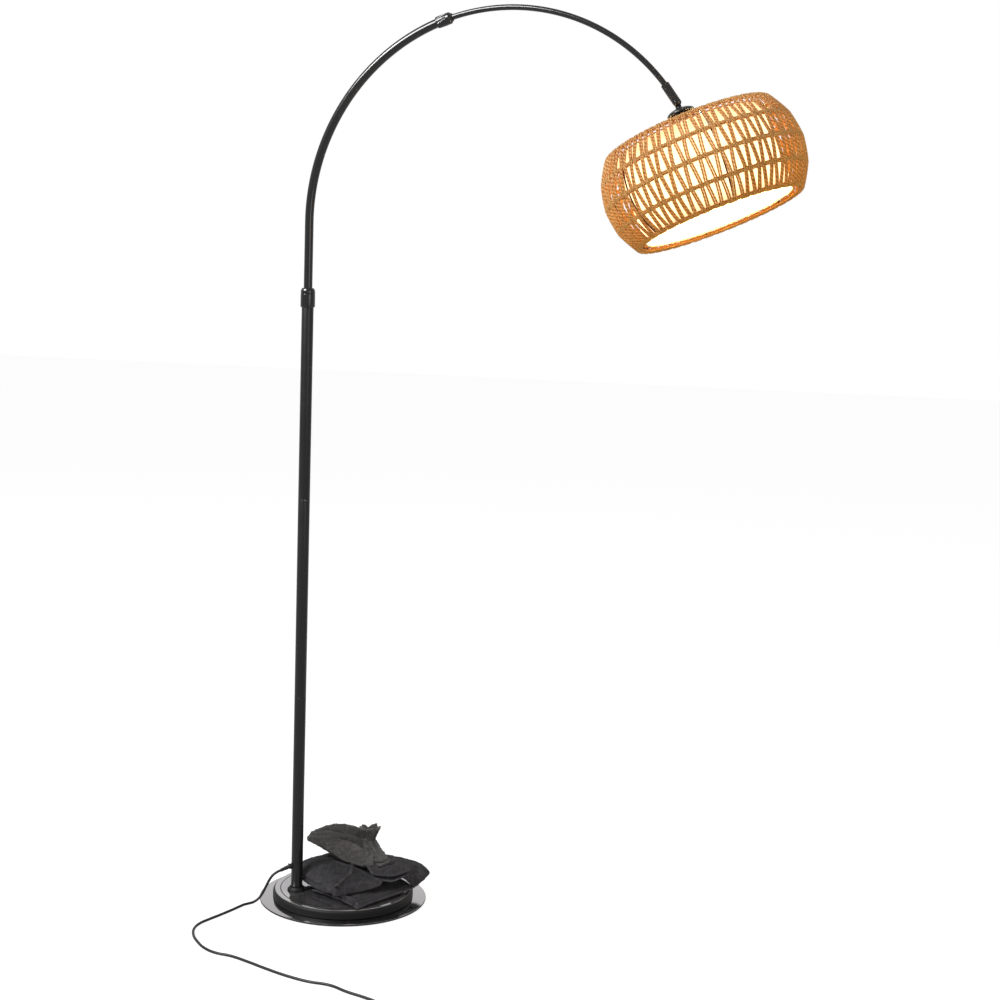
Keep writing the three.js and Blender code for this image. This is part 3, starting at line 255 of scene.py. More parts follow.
finish["rim"] = edgedFinish("rimMoulding", {
    "matt": (0.004, 0.004, 0.004), "polished": (0.4, 0.39, 0.4), "rough": (0.55, 0.08), "metal": 0.9,
    "heights": (0.021, 0.0215),
})
finish["plate"] = edgedFinish("plateMetal", {
    "matt": (0.004, 0.004, 0.004), "polished": (0.36, 0.345, 0.35), "rough": (0.6, 0.12), "metal": 1,
    "heights": (0.0046, 0.00478),
})
finish["rope"] = ropeFinish()
finish["linen"] = linerFinish()
bulbGlow = {"Emission Color": (1, 0.8, 0.45, 1), "Emission Strength": 240}
finish["opal"] = newMaterial("opalGlass", (1, 0.97, 0.9), 0.25, bulbGlow)[0]
finish["cloth"] = clothFinish("charcoalCloth", {
    "dark": (0.011, 0.0105, 0.012), "middle": (0.025, 0.0235, 0.027), "light": (0.06, 0.057, 0.064),
    "rough": 0.75, "gloss": 0.14, "relief": 0.003, "creases": 70, "wearAndShadeScale": 2.2,
})
finish["waxed"] = clothFinish("waxedCloth", {
    "dark": (0.009, 0.008, 0.008), "middle": (0.024, 0.022, 0.021), "light": (0.085, 0.078, 0.072),
    "rough": 0.4, "gloss": 0.34, "relief": 0.006, "creases": 230, "wearAndShadeScale": 2.6,
})
print("materials made")


# Shape helpers
def placed(name, data):
    thing = bpy.data.objects.new(name, data)
    scene.collection.objects.link(thing)
    return thing


def meshOf(name, bm):
    mesh = bpy.data.meshes.new(name)
    bm.to_mesh(mesh)
    bm.free()
    return mesh


def paint(data, material):
    data.materials.clear()
    data.materials.append(finish[material])


def assign(piece, material, body, nodes=()):
    # What a piece looks like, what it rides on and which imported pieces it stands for.
    paint(piece.data, material)
    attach(piece, body)
    if nodes:
        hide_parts(*nodes)
    return piece


def addPiece(name, bm, material, body, nodes=(), move=None, sharp=35):
    # Edges that turn by more than the sharp angle stay crisp; with zero the whole piece is smooth.
    if move is not None:
        bmesh.ops.transform(bm, matrix=move, verts=bm.verts)
    mesh = meshOf(name, bm)
    mesh.shade_smooth()
    if sharp:
        mesh.set_sharp_from_angle(angle=math.radians(sharp))
    return assign(placed(name, mesh), material, body, nodes)


def band(inner, outer, low, high):
    # The outline of a ring with a square section, or of a disc where the inner radius is zero.
    return [(inner, low), (outer, low), (outer, high), (inner, high)]


def spun(profile, steps=64):
    # Turns an open or closed outline of (radius, height) round +Z.
    bm = bmesh.new()
    verts = [bm.verts.new((r, 0, z)) for r, z in profile]
    edges = [bm.edges.new(pair) for pair in zip(verts, verts[1:])]
    if profile[0][0] > 1e-6 or profile[-1][0] > 1e-6:
        edges.append(bm.edges.new((verts[-1], verts[0])))
    bmesh.ops.spin(bm, geom=verts + edges, axis=up, cent=(0, 0, 0), angle=math.tau, steps=steps,
                   use_merge=True)
    bmesh.ops.remove_doubles(bm, verts=bm.verts, dist=1e-6)
    bmesh.ops.delete(bm, geom=[e for e in bm.edges if e.is_wire], context="EDGES")
    bmesh.ops.recalc_face_normals(bm, faces=bm.faces)
    return bm


def arc(x, y, radius, start, end, steps):
    angles = [math.radians(start + (end - start) * k / steps) for k in range(steps + 1)]
    return [(x + radius * math.cos(a), y + radius * math.sin(a)) for a in angles]


def rounded(points, radius, steps=3):
    # An outline with each corner rounded; a corner keeps its place where its sides are too short.
    made = [points[0]]
    for before, corner, after in zip(points, points[1:], points[2:]):
        a, c, b = Vector(before), Vector(corner), Vector(after)
        toA, toB = (a - c), (b - c)
        reach = min(radius, toA.length * 0.45, toB.length * 0.45)
        start, end = c + toA.normalized() * reach, c + toB.normalized() * reach
        for k in range(steps + 1):
            t = k / steps
            made.append(tuple((1 - t) ** 2 * start + 2 * t * (1 - t) * c + t * t * end))
    made.append(points[-1])
    return made


def extruded(bm, ring, edges):
    # The ring extruded once: its new vertices in the same order, and its new edges.
    grown = bmesh.ops.extrude_edge_only(bm, edges=edges)["geom"]
    new = {v for v in grown if isinstance(v, bmesh.types.BMVert)}
    ring = [next(e.other_vert(v) for e in v.link_edges if e.other_vert(v) in new) for v in ring]
    return ring, [e for e in grown if isinstance(e, bmesh.types.BMEdge)]


def sweep(points, radius, sides):
    # An open tube along points, made by extruding a circle.
    bm = bmesh.new()
    ends = zip([points[0], *points[:-1]], [*points[1:], points[-1]])
    tangents = [(after - before).normalized() for before, after in ends]
    start = Matrix.Translation(points[0]) @ up.rotation_difference(tangents[0]).to_matrix().to_4x4()
    ring = bmesh.ops.create_circle(bm, segments=sides, radius=radius, matrix=start)["verts"]
    edges = list(bm.edges)
    for i in range(1, len(points)):
        ring, edges = extruded(bm, ring, edges)
        swing = tangents[i - 1].rotation_difference(tangents[i]).to_matrix()
        for v in ring:
            v.co = points[i] + swing @ (v.co - points[i - 1])
    bmesh.ops.recalc_face_normals(bm, faces=bm.faces)
    return bm


twist = {"step": 0.618, "length": 0.004}


def tubes(name, paths, radius, material, body, nodes=(), closed=False, bevel=1, length=None):
    # Round tubes along paths, as one mesh; UV runs round each tube and along it in metres.
    curve = bpy.data.curves.new(name, "CURVE")
    curve.dimensions = "3D"
    curve.bevel_depth = radius
    curve.bevel_resolution = bevel
    curve.use_fill_caps = not closed
    for path in paths:
        spline = curve.splines.new("POLY")
        spline.points.add(len(path) - 1)
        for knot, point in zip(spline.points, path):
            knot.co = (*point, 1)
        spline.use_cyclic_u = closed
        spline.use_smooth = True
    piece = placed(name, curve)
    mesh = bpy.data.meshes.new_from_object(piece.evaluated_get(bpy.context.evaluated_depsgraph_get()))
    bpy.data.objects.remove(piece)
    bpy.data.curves.remove(curve)
    mesh.name = name
    if mesh.uv_layers:
        flat = mesh.uv_layers[0].data
        if length is None:
            length = sum((Vector(a) - Vector(b)).length for a, b in zip(paths[0], paths[0][1:]))
        each = max(1, len(flat) // len(paths))
        for k, spot in enumerate(flat):
            along, around = spot.uv
            # Each tube starts at its own place along the twist, so that neighbours don't line up.
            start = k // each * twist["step"] % 1 * twist["length"]
            spot.uv = (around, along * length + start)
    mesh.shade_smooth()
    return assign(placed(name, mesh), material, body, nodes)


def combine(bm, other, operation):
    # Two closed shapes joined, or the second one cut out of the first.
    things = [placed("part", meshOf("part", part)) for part in (bm, other)]
    tool = things[0].modifiers.new("cut", "BOOLEAN")
    tool.operation = operation
    tool.solver = "EXACT"
    tool.object = things[1]
    final = things[0].evaluated_get(bpy.context.evaluated_depsgraph_get())
    made = bmesh.new()
    made.from_mesh(final.to_mesh())
    final.to_mesh_clear()
    for thing in things:
        mesh = thing.data
        bpy.data.objects.remove(thing)
        bpy.data.meshes.remove(mesh)
    bmesh.ops.remove_doubles(made, verts=made.verts, dist=1e-6)
    return made


def subtract(bm, *cutters):
    for cutter in cutters:
        bm = combine(bm, cutter, "DIFFERENCE")
    return bm


def block(size, centre):
    bm = bmesh.new()
    bmesh.ops.create_cube(bm, size=1, matrix=Matrix.Translation(centre) @ Matrix.Diagonal((*size, 1)))
    return bm


def bevel(bm, chosen, offset, segments):
    # Rounds the edges that are chosen by their two ends.
    edges = [e for e in bm.edges if chosen(*(v.co for v in e.verts))]
    bmesh.ops.bevel(bm, geom=edges, offset=offset, segments=segments, profile=0.5, affect="EDGES",
                    material=-1)


def roundedBlock(length, width, low, high, corner, edge=0, segments=5):
    # A block with rounded corners in plan, and a rounded top edge if asked.
    bm = block((length, width, high - low), (0, 0, (low + high) / 2))
    bevel(bm, lambda a, b: abs(a.z - b.z) > 1e-5, corner, 10)
    if edge:
        bevel(bm, lambda a, b: min(a.z, b.z) > high - 1e-5, edge, segments)
    return bm


def rodAlongY(radius, length, steps=48, edge=0.0):
    points = band(0, radius, -length / 2, length / 2)
    bm = spun(rounded(points, edge) if edge else points, steps)
    bmesh.ops.transform(bm, verts=bm.verts, matrix=Matrix.Rotation(math.pi / 2, 4, "X"))
    return bm


# Camera and light
view = {
    "place": (1.3115, -2.8446, 1.1351), "turn": 0.34268, "pitch": 0.11167, "roll": 0.03226, "lens": 59.874,
    "sensor": 36, "far": 60,
}


def addCamera():
    right = Vector((math.cos(view["turn"]), math.sin(view["turn"]), 0))
    level = Vector((-math.sin(view["turn"]), math.cos(view["turn"]), 0))
    ahead = level * math.cos(view["pitch"]) - up * math.sin(view["pitch"])
    upright = level * math.sin(view["pitch"]) + up * math.cos(view["pitch"])
    c, s = math.cos(view["roll"]), math.sin(view["roll"])
    axes = Matrix((right * c + upright * s, upright * c - right * s, -ahead)).transposed().to_4x4()
    data = bpy.data.cameras.new("camera")
    data.sensor_width = view["sensor"]
    data.lens = view["lens"]
    data.clip_end = view["far"]
    camera = placed("camera", data)
    camera.matrix_world = Matrix.Translation(view["place"]) @ axes
    scene.camera = camera


def addLight(name, place, target, size, energy, glossOnly=False):
    data = bpy.data.lights.new(name, "AREA")
    data.shape = "DISK"
    data.size = size
    data.energy = energy
    lamp = placed(name, data)
    away = Vector(place) - Vector(target)
    lamp.matrix_world = Matrix.Translation(place) @ away.to_track_quat("Z", "Y").to_matrix().to_4x4()
    lamp.visible_diffuse = not glossOnly


def addStudio():
    # The world is white where the camera or a shiny surface sees it, and lights the lamp less than that.
    addLight("keyLight", (-2.6, -2.6, 3.4), (0.2, 0, 0.8), 0.9, 150)
    addLight("fillLight", (3.2, -2.2, 1.8), (0.2, 0, 0.8), 2.2, 40)
    addLight("topLight", (-1.4, -2.7, 3.4), (0.2, 0, 1.5), 2, 420, glossOnly=True)
    world = bpy.data.worlds.new("studio")
    scene.world = world
    world.use_nodes = True
    rays = addNode(world, "LightPath").outputs
    seen = reckon(world, "MAXIMUM", rays["Is Camera Ray"], rays["Is Glossy Ray"])
    seen = reckon(world, "MAXIMUM", seen, rays["Is Transmission Ray"])
    inputs = {"Color": (1, 1, 1, 1), "Strength": mapped(world, seen, after=(0.33, 1))}
    feed(world, world.node_tree.nodes["Background"], inputs)


def addFloor():
    # White floor: the camera sees its own white and a share of the light on it, so a soft shadow stays.
    look = {"paper": 0.35, "white": 0.86, "bounce": 0.8}
    bm = bmesh.new()
    bmesh.ops.create_grid(bm, x_segments=1, y_segments=1, size=25)
    material = bpy.data.materials.new("studioFloor")
    material.use_nodes = True
    material.node_tree.nodes.clear()
    rays = addNode(material, "LightPath").outputs
    seen = reckon(material, "MAXIMUM", rays["Is Camera Ray"], rays["Is Glossy Ray"])
    paper = addNode(material, "BsdfDiffuse", {"Color": (look["paper"], look["paper"], look["paper"], 1)})
    white = addNode(material, "Emission", {"Strength": look["white"]})
    both = addNode(material, "AddShader", {0: paper.outputs["BSDF"], 1: white.outputs["Emission"]})
    plain = addNode(material, "BsdfDiffuse", {"Color": (look["bounce"], look["bounce"], look["bounce"], 1)})
    inputs = {"Fac": seen, 1: plain.outputs["BSDF"], 2: both.outputs["Shader"]}
    addNode(material, "OutputMaterial", {"Surface": addNode(material, "MixShader", inputs).outputs["Shader"]})
    floor = placed("studioFloor", meshOf("studioFloor", bm))
    floor.data.materials.append(material)


addCamera()
addStudio()
addFloor()
print("camera, lights and floor set")


# Mains lead
lead = {
    "radius": 0.0025, "floor": 0.0026, "setPlace": (0.4825, -0.4588), "setTurn": 19.8,
    "inner": 0.020, "pitch": 0.0055, "layer": 0.0055, "turns": 5.5, "tailIn": 0.022, "tailOut": 0.014,
    "crossing": 0.25, "port": 0.0044, "plugAxis": 0.008, "switchX": -0.0603, "switchHalf": 0.0383,
    "glandHeight": 0.073, "glandTurn": 221.2, "glandFall": 20, "glandTip": 0.0345,
}
poleFoot = {"x": -0.076, "y": -0.049}
# Millimetres from the middle of the base: the fall from the pole, and then the way over the floor
fallRoute = [
    (-111, -79.7, 53.9), (-116.1, -84.1, 45.4), (-121.5, -88.8, 32), (-126.9, -93.5, 18.5),
    (-132, -98, 10), (-138.5, -104, 4.4), (-145.2, -111, 2.6),
]
floorRoute = [
    (-150, -119.5), (-153, -132), (-157, -153), (-164, -184), (-172, -215), (-177, -240), (-174, -265),
    (-160, -293), (-136, -320), (-108, -342), (-82, -352), (-50, -354), (-10, -365), (35, -380),
    (78, -392), (122, -399), (162, -398), (200, -411), (240, -421), (272, -433),
    (298, -450), (322, -464), (344, -468),
]
setTurn = Matrix.Rotation(math.radians(lead["setTurn"]), 4, "Z")
setMatrix = Matrix.Translation((*lead["setPlace"], 0)) @ setTurn
coilHalf = lead["turns"] / 2
coilOuter = lead["inner"] + lead["pitch"] * coilHalf


def smoothStep(t):
    t = min(1, max(0, t))
    return t * t * (3 - 2 * t)


def glandDirection():
    fall, turn = math.radians(lead["glandFall"]), math.radians(lead["glandTurn"])
    return Vector((math.cos(fall) * math.cos(turn), math.cos(fall) * math.sin(turn), -math.sin(fall)))


def coilPoint(turns):
    angle = math.pi / 2 - math.tau * (turns + coilHalf)
    r = lead["inner"] + lead["pitch"] * abs(turns)
    climb = smoothStep((turns + lead["crossing"]) / (2 * lead["crossing"]))
    return Vector((r * math.cos(angle), r * math.sin(angle), lead["floor"] + lead["layer"] * climb))


def addCord(name, points, handles):
    curve = bpy.data.curves.new(name, "CURVE")
    curve.dimensions = "3D"
    curve.bevel_depth = lead["radius"]
    curve.bevel_resolution = 4
    curve.use_fill_caps = True
    curve.resolution_u = handles
    spline = curve.splines.new("BEZIER")
    spline.bezier_points.add(len(points) - 1)
    for knot, point in zip(spline.bezier_points, points):
        knot.co = point
        knot.handle_left_type = knot.handle_right_type = "AUTO"
    return assign(placed(name, curve), "rubber", "base")


def splineLength(piece):
    graph = bpy.context.evaluated_depsgraph_get()
    bare = piece.data.copy()
    bare.bevel_depth = 0
    probe = placed("probe", bare)
    graph.update()
    mesh = probe.evaluated_get(graph).to_mesh()
    places = [v.co.copy() for v in mesh.vertices]
    total = sum((places[a] - places[b]).length for a, b in (e.vertices for e in mesh.edges))
    probe.evaluated_get(graph).to_mesh_clear()
    bpy.data.objects.remove(probe)
    bpy.data.curves.remove(bare)
    return total


def tail(reach, across, start, end):
    # Three points that lead away from the coil and change height on the way.
    return [Vector((-reach * t, across, start + (end - start) * smoothStep(t))) for t in (0, 0.5, 1)]


def addLead():
    out = glandDirection()
    tip = Vector((poleFoot["x"], poleFoot["y"], lead["glandHeight"])) + out * lead["glandTip"]
    ahead = tip + out * lead["radius"] * 2
    portX = lead["switchX"] - lead["switchHalf"]
    port = setMatrix @ Vector((portX, coilOuter, lead["port"]))
    before = setMatrix @ Vector((portX - lead["radius"] * 4, coilOuter, lead["port"]))
    onFloor = [Vector((x / 1000, y / 1000, lead["floor"])) for x, y in floorRoute]
    falling = [Vector(p) / 1000 for p in fallRoute]
    points = [tip, ahead, *falling, *onFloor, before, port]
    near = tail(lead["tailIn"], coilOuter, lead["floor"], lead["port"])[::-1]
    wound = [coilPoint(-coilHalf + k / 24) for k in range(1, int(lead["turns"] * 24))]
    far = tail(lead["tailOut"], -coilOuter, lead["floor"] + lead["layer"], lead["plugAxis"])
    coilPoints = [setMatrix @ p for p in near + wound + far]
    return addCord("leadOnFloor", points, 8), addCord("leadCoil", coilPoints, 3), tip, coilPoints[0]


floorLead, coiledLead, floorExit, coilExit = addLead()
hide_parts("mains_cord")
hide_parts("cord_coil")
floorLength, coilLength = splineLength(floorLead), splineLength(coiledLead)
print("lead lengths", round(floorLength, 4), round(coilLength, 4))


# Woven shade, built in the shade's own frame: the tilt axis is at zero and the shade hangs along -Z
shade = {
    "start": 0.0477, "height": 0.1686, "mouth": 0.292, "belly": 0.354,
    "rings": 5, "vees": 42, "ringWidth": 0.009, "cord": 0.0035, "wrap": 0.0041, "ringInset": 0.0050,
    "pitch": 0.0072, "wrapSteps": 8, "topGap": 0.0018, "footGap": 0.0003, "pairGap": 0.0001, "jitter": 0.0006,
    "over": 0.0031, "wrapLength": 3.2, "strandLength": 0.06,
}
# Points of a slanted cord: the share of the way down, its place outwards and downwards in multiples of
# how far a cord stands over its ring, and the share of its lean
strandStops = [
    (0, -0.5, -0.75, 0), (0, 0.35, -0.95, 0), (0, 0.9, -0.45, 0), (0, 1, 0.2, 0), (0.1, 0.9, 0, 0.08),
    (0.3, 0.75, 0, 0.29), (0.5, 0.7, 0, 0.5), (0.7, 0.75, 0, 0.71), (0.9, 0.9, 0, 0.92),
    (1, 1, -0.2, 1), (1, 0.9, 0.45, 1), (1, 0.35, 0.95, 1), (1, -0.5, 0.75, 1),
]
shadeMatrix = Matrix.Translation(pivotPoint) @ Matrix.Rotation(-shadeTilt, 4, "Y")
halfHeight = shade["height"] / 2
bulge = (shade["belly"] - shade["mouth"]) / 2
sideRadius = (halfHeight ** 2 + bulge ** 2) / (2 * bulge)
sideAngle = math.asin(halfHeight / sideRadius)
ringStart = -sideAngle + shade["ringWidth"] / 2 / sideRadius
ringAngles = [ringStart - 2 * k * ringStart / (shade["rings"] - 1) for k in range(shade["rings"])]


def onSide(angle, inset, turn=0.0, outward=0.0, downward=0.0):
    # A place on the shade's barrel side; the angle is zero at its widest, and grows downwards.
    flat = shade["belly"] / 2 - sideRadius + (sideRadius - inset + outward) * math.cos(angle)
    height = -(shade["start"] + halfHeight) - (sideRadius - inset + outward) * math.sin(angle)
    flat -= downward * math.sin(angle)
    height -= downward * math.cos(angle)
    return Vector((flat * math.cos(turn), flat * math.sin(turn), height))


def ringWraps():
    # Two cords wound side by side round each wire ring.
    paths = []
    wind, inset = shade["wrap"] - shade["cord"] / 2, shade["ringInset"]
    for angle in ringAngles:
        turns = round(math.tau * onSide(angle, inset).x / shade["pitch"])
        steps = turns * shade["wrapSteps"]
        for start in (0, math.pi):
            path = []
            for k in range(steps):
                turn = math.tau * k / steps
                roll = turns * turn + start
                spot = onSide(angle, inset, turn, wind * math.cos(roll), wind * math.sin(roll))
                path.append(shadeMatrix @ spot)
            paths.append(path)
    return paths


def strandPaths():
    # Between two rings, pairs of cords lean together at the foot and stand a little apart at the top.
    dice = random.Random(5)
    paths = []
    period = math.tau / shade["vees"]
    over = shade["over"]
    half = shade["cord"] / 2 + shade["pairGap"]
    for ring, (upper, lower) in enumerate(zip(ringAngles, ringAngles[1:])):
        rUp, rLow = onSide(upper, 0).x, onSide(lower, 0).x
        for i in range(shade["vees"]):
            foot = (i + 0.5 * (ring % 2)) * period + period / 2
            for side in (-1, 1):
                wobble = [dice.uniform(-1, 1) * shade["jitter"] for _ in range(3)]
                apart = 2 * half + shade["topGap"] / 2 + wobble[0]
                headTurn = foot + side * period / 2 - side * apart / rUp
                footTurn = foot + side * (2 * half + shade["footGap"] + wobble[1] * 0.4) / rLow
                for cordSide in (-1, 1):
                    path = []
                    for at, outward, downward, share in strandStops:
                        angle = upper + (lower - upper) * at
                        r = rUp + (rLow - rUp) * share
                        turn = headTurn + (footTurn - headTurn) * share
                        turn += cordSide * half / r + wobble[2] * math.sin(math.pi * share) / r
                        spot = onSide(angle, shade["ringInset"], turn, outward * over, downward * over)
                        path.append(shadeMatrix @ spot)
                    paths.append(path)
    return paths


cordRadius = shade["cord"] / 2
wraps = tubes("shadeRings", ringWraps(), cordRadius, "rope", "shade", closed=True,
              length=shade["wrapLength"])
strands = tubes("shadeStrands", strandPaths(), cordRadius, "rope", "shade", ("shade_weave",),
                length=shade["strandLength"])
print("shade woven", len(wraps.data.polygons), len(strands.data.polygons))

# Base, all lengths from its centre on the floor
base = {
    "padRadius": 0.15, "padTop": 0.0015, "plateRadius": 0.16, "plateBottom": 0.0018, "plateTop": 0.0048,
    "rimOuter": 0.135, "rimInner": 0.12, "rimBottom": 0.0051, "rimTop": 0.0216, "outerRound": 0.006,
    "innerRound": 0.0025, "foot": 0.0012, "discTop": 0.0202, "discThickness": 0.0012, "studHole": 0.0053,
    "play": 0.0003, "edge": 0.0009,
    "lip": ((0.018, 0), (0.014, 0.00005), (0.010, 0.0002), (0.0065, 0.0005), (0.0035, 0.00085), (0, 0.0013)),
}


def addDisc():
    # The gloss disc has an off-centre hole for the pole's foot, and its edge curves up a little.
    bm = bmesh.new()
    wide = base["rimInner"] - base["play"]
    circles = [(poleFoot["x"], poleFoot["y"], 0, base["studHole"])]
    circles += [(0, 0, rise, wide - inwards) for inwards, rise in base["lip"]]
    loops = []
    for x, y, rise, radius in circles:
        before = set(bm.edges)
        spot = Matrix.Translation((x, y, base["discTop"] + rise))
        bmesh.ops.create_circle(bm, segments=96, radius=radius, matrix=spot)
        loops.append([e for e in bm.edges if e not in before])
    for one, two in zip(loops, loops[1:]):
        bmesh.ops.bridge_loops(bm, edges=one + two)
    down = bmesh.ops.extrude_face_region(bm, geom=list(bm.faces))["geom"]
    lower = [v for v in down if isinstance(v, bmesh.types.BMVert)]
    bmesh.ops.translate(bm, verts=lower, vec=(0, 0, -base["discThickness"]))
    bmesh.ops.recalc_face_normals(bm, faces=bm.faces)
    addPiece("glossDisc", bm, "glossDisc", "base", ["base_top_disc"])


def addBase():
    pad = band(0, base["padRadius"], 0, base["padTop"])
    addPiece("footPad", spun(pad, 128), "foam", "base", ["floor_pad"])
    plate = rounded(band(0, base["plateRadius"], base["plateBottom"], base["plateTop"]), base["edge"])
    addPiece("steelPlate", spun(plate, 160), "plate", "base", ["base_plate"])
    low, high, foot = base["rimBottom"], base["rimTop"], base["foot"]
    outer, inner, big, small = base["rimOuter"], base["rimInner"], base["outerRound"], base["innerRound"]
    rim = [(inner, low), (outer - foot, low), (outer, low + foot)]
    rim += arc(outer - big, high - big, big, 0, 90, 10) + arc(inner + small, high - small, small, 90, 180, 6)
    addPiece("mouldedRim", spun(rim, 160), "rim", "base", ["base_rim"])
    addDisc()


addBase()
print("base made")

# Pole, foot flange and lower collar
pole = {
    "outer": 0.011, "wall": 0.0012, "foot": 0.0205, "section": 0.378, "count": 3, "seam": 0.0003,
    "edge": 0.0005,
    "flangeRadius": 0.0175, "flangeHeight": 0.007, "flangeLip": 0.0025, "flangeSlope": 0.0022,
    "flangeRise": 0.0016, "flangeEdge": 0.0009,
}
lowerCollar = {
    "outer": 0.0135, "length": 0.036, "cone": 0.010, "topRadius": 0.010, "bore": 0.0089, "poleBore": 0.0115,
    "overlap": 0.020, "edge": 0.0016, "round": 0.0006, "groove": 0.0009, "grooveHigh": 0.0012,
}
poleSpot = Matrix.Translation((poleFoot["x"], poleFoot["y"], 0))


def addPole():
    outer, inner = pole["outer"], pole["outer"] - pole["wall"]
    for k, name in enumerate(("lower", "middle", "upper")):
        low = pole["foot"] + k * pole["section"] + (pole["seam"] if k else 0)
        high = pole["foot"] + (k + 1) * pole["section"]
        # The outline starts and ends inside, so that all four corners are rounded.
        inside = (inner, (low + high) / 2)
        tube = rounded([inside, *band(inner, outer, low, high), inside], pole["edge"])
        node = f"pole_{name}_section"
        addPiece(name + "Tube", spun(tube, 64), "poleBlack", "base", [node], poleSpot)
    low, wide, bore, slope = pole["foot"], pole["flangeRadius"], outer + base["play"], pole["flangeSlope"]
    lip, high = low + pole["flangeLip"], low + pole["flangeHeight"]
    flange = [(bore, low), (wide, low), (wide, lip), (wide - slope, lip + pole["flangeRise"])]
    flange = rounded(flange + [(bore + slope, high), (bore, high)], pole["flangeEdge"])
    addPiece("footFlange", spun(flange, 64), "mouldedBlack", "base", ["pole_foot_flange"],
             poleSpot, 50)


def addLowerCollar():
    c = lowerCollar
    low = pole["foot"] + pole["count"] * pole["section"] - c["overlap"]
    high = low + c["length"]
    shoulder = high - c["cone"]
    outline = [(c["poleBore"], low), (c["outer"] - c["edge"], low), (c["outer"], low + c["edge"])]
    outline += [(c["outer"], shoulder - c["grooveHigh"])]
    outline += [(c["outer"] - c["groove"], shoulder - c["grooveHigh"] / 2)]
    for k in range(13):
        t = k / 12
        radius = c["outer"] - (c["outer"] - c["topRadius"]) * t ** 2.4
        outline.append((radius, shoulder + c["cone"] * (1 - (1 - t) ** 1.3)))
    outline += [(c["bore"], high), (c["bore"], shoulder), (c["poleBore"], shoulder)]
    bm = spun(rounded(outline, c["round"]), 64)
    addPiece("collarLow", bm, "satinBlack", "lower_collar", ["lower_collar"], poleSpot, 40)


addPole()
addLowerCollar()
print("pole made")

# Bent arm: its centre line is straight above the pole and then an arc; angles grow along it
arm = {
    "radius": 0.3736, "start": 1.2915, "foot": 0.9225, "tube": 0.008, "tubeWall": 0.0012, "tubeEnd": 72,
    "rod": 0.005, "rodWall": 0.001, "rodEnd": 146.3, "rodLap": 15.5, "rodShort": 0.015,
}
upperCollar = {
    "outer": 0.0105, "length": 0.030, "cone": 0.006, "wide": 0.0089, "narrow": 0.0059, "wall": 0.0016,
    "edge": 0.0008, "round": 0.0005, "flutes": 8, "fluteDeep": 0.0013, "fluteTwist": 21, "fluteShare": 0.66,
    "fade": 0.002, "rows": 44,
}
sleeve = {
    "radius": 0.0075, "length": 0.038, "bore": 0.0058, "boreStart": 0.013, "slot": 0.0048, "slotDeep": 0.009,
    "hole": 0.0023, "lip": 0.0008,
}
pin = {
    "radius": 0.002, "head": 0.004, "headHigh": 0.0022, "edge": 0.0006, "socket": 0.0014, "socketEnd": 0.0008,
    "nutAcross": 0.007, "nutHigh": 0.003, "nutEdge": 0.0003, "nutSlope": 0.0007,
}
tongue = {
    "thick": 0.004, "round": 0.0062, "edge": 0.0005, "neckStart": 0.0084, "neck": 0.005, "neckEdge": 0.0008,
    "length": 0.024, "bore": 0.00275,
}


def onArch(angle):
    a = math.radians(angle)
    centre = Vector((poleFoot["x"] + arm["radius"], poleFoot["y"], arm["start"]))
    return centre + arm["radius"] * Vector((-math.cos(a), 0, math.sin(a)))


def addBentPiece(name, points, radius, sides, body, node, wall):
    piece = addPiece(name, sweep(points, radius, sides), "satinBlack", body, [node], sharp=0)
    shell = piece.modifiers.new("wall", "SOLIDIFY")
    shell.thickness = wall
    shell.offset = -1
    shell.use_even_offset = True


def addBentTubes():
    foot = Vector((poleFoot["x"], poleFoot["y"], arm["foot"]))
    line = [foot.lerp(onArch(0), k / 12) for k in range(12)]
    line += [onArch(arm["tubeEnd"] * k / 72) for k in range(73)]
    addBentPiece("bentTube", line, arm["tube"], 40, "arch", "arch_tube", arm["tubeWall"])
    start = arm["tubeEnd"] - arm["rodLap"]
    tip = arm["rodEnd"] - math.degrees(arm["rodShort"] / arm["radius"])
    line = [onArch(start + (tip - start) * k / 100) for k in range(101)]
    addBentPiece("bentRod", line, arm["rod"], 32, "arm", "arm_rod", arm["rodWall"])


def addUpperCollar():
    # A barrel with slanting finger flutes on its tube side and a plain shoulder.
    c = upperCollar
    low, high = -c["length"] / 2, c["length"] / 2
    shoulder, neck, edge = high - c["cone"], c["narrow"] + c["wall"], c["edge"]
    outline = [(c["wide"], low), (c["outer"] - 0.0007, low)]
    outline += [(c["outer"], low + edge + (shoulder - low - edge) * k / c["rows"])
                for k in range(c["rows"] + 1)]
    outline += arc(neck - c["round"], shoulder, c["outer"] - neck + c["round"], 15, 75, 4)
    outline += [(neck - 0.0004, high), (c["narrow"], high), (c["narrow"], shoulder), (c["wide"], shoulder)]
    bm = spun(outline, 132)
    end = low + c["length"] * c["fluteShare"]
    for v in bm.verts:
        flat = Vector((v.co.x, v.co.y))
        if flat.length < c["outer"] - 0.0001 or v.co.z > shoulder + 1e-6:
            continue
        turn = math.atan2(flat.y, flat.x)
        wave = math.cos(c["flutes"] * (turn + c["fluteTwist"] * v.co.z))
        fade = smoothStep((end - v.co.z) / c["fade"]) * smoothStep((v.co.z - low - 0.001) / c["fade"])
        flat *= 1 - c["fluteDeep"] / c["outer"] * fade * max(0, wave) ** 0.6
        v.co.x, v.co.y = flat
    turned = Matrix.Rotation(math.radians(arm["tubeEnd"]), 4, "Y")
    place = Matrix.Translation(onArch(arm["tubeEnd"])) @ turned
    addPiece("collarHigh", bm, "satinBlack", "upper_collar", ["upper_collar"], place, 40)


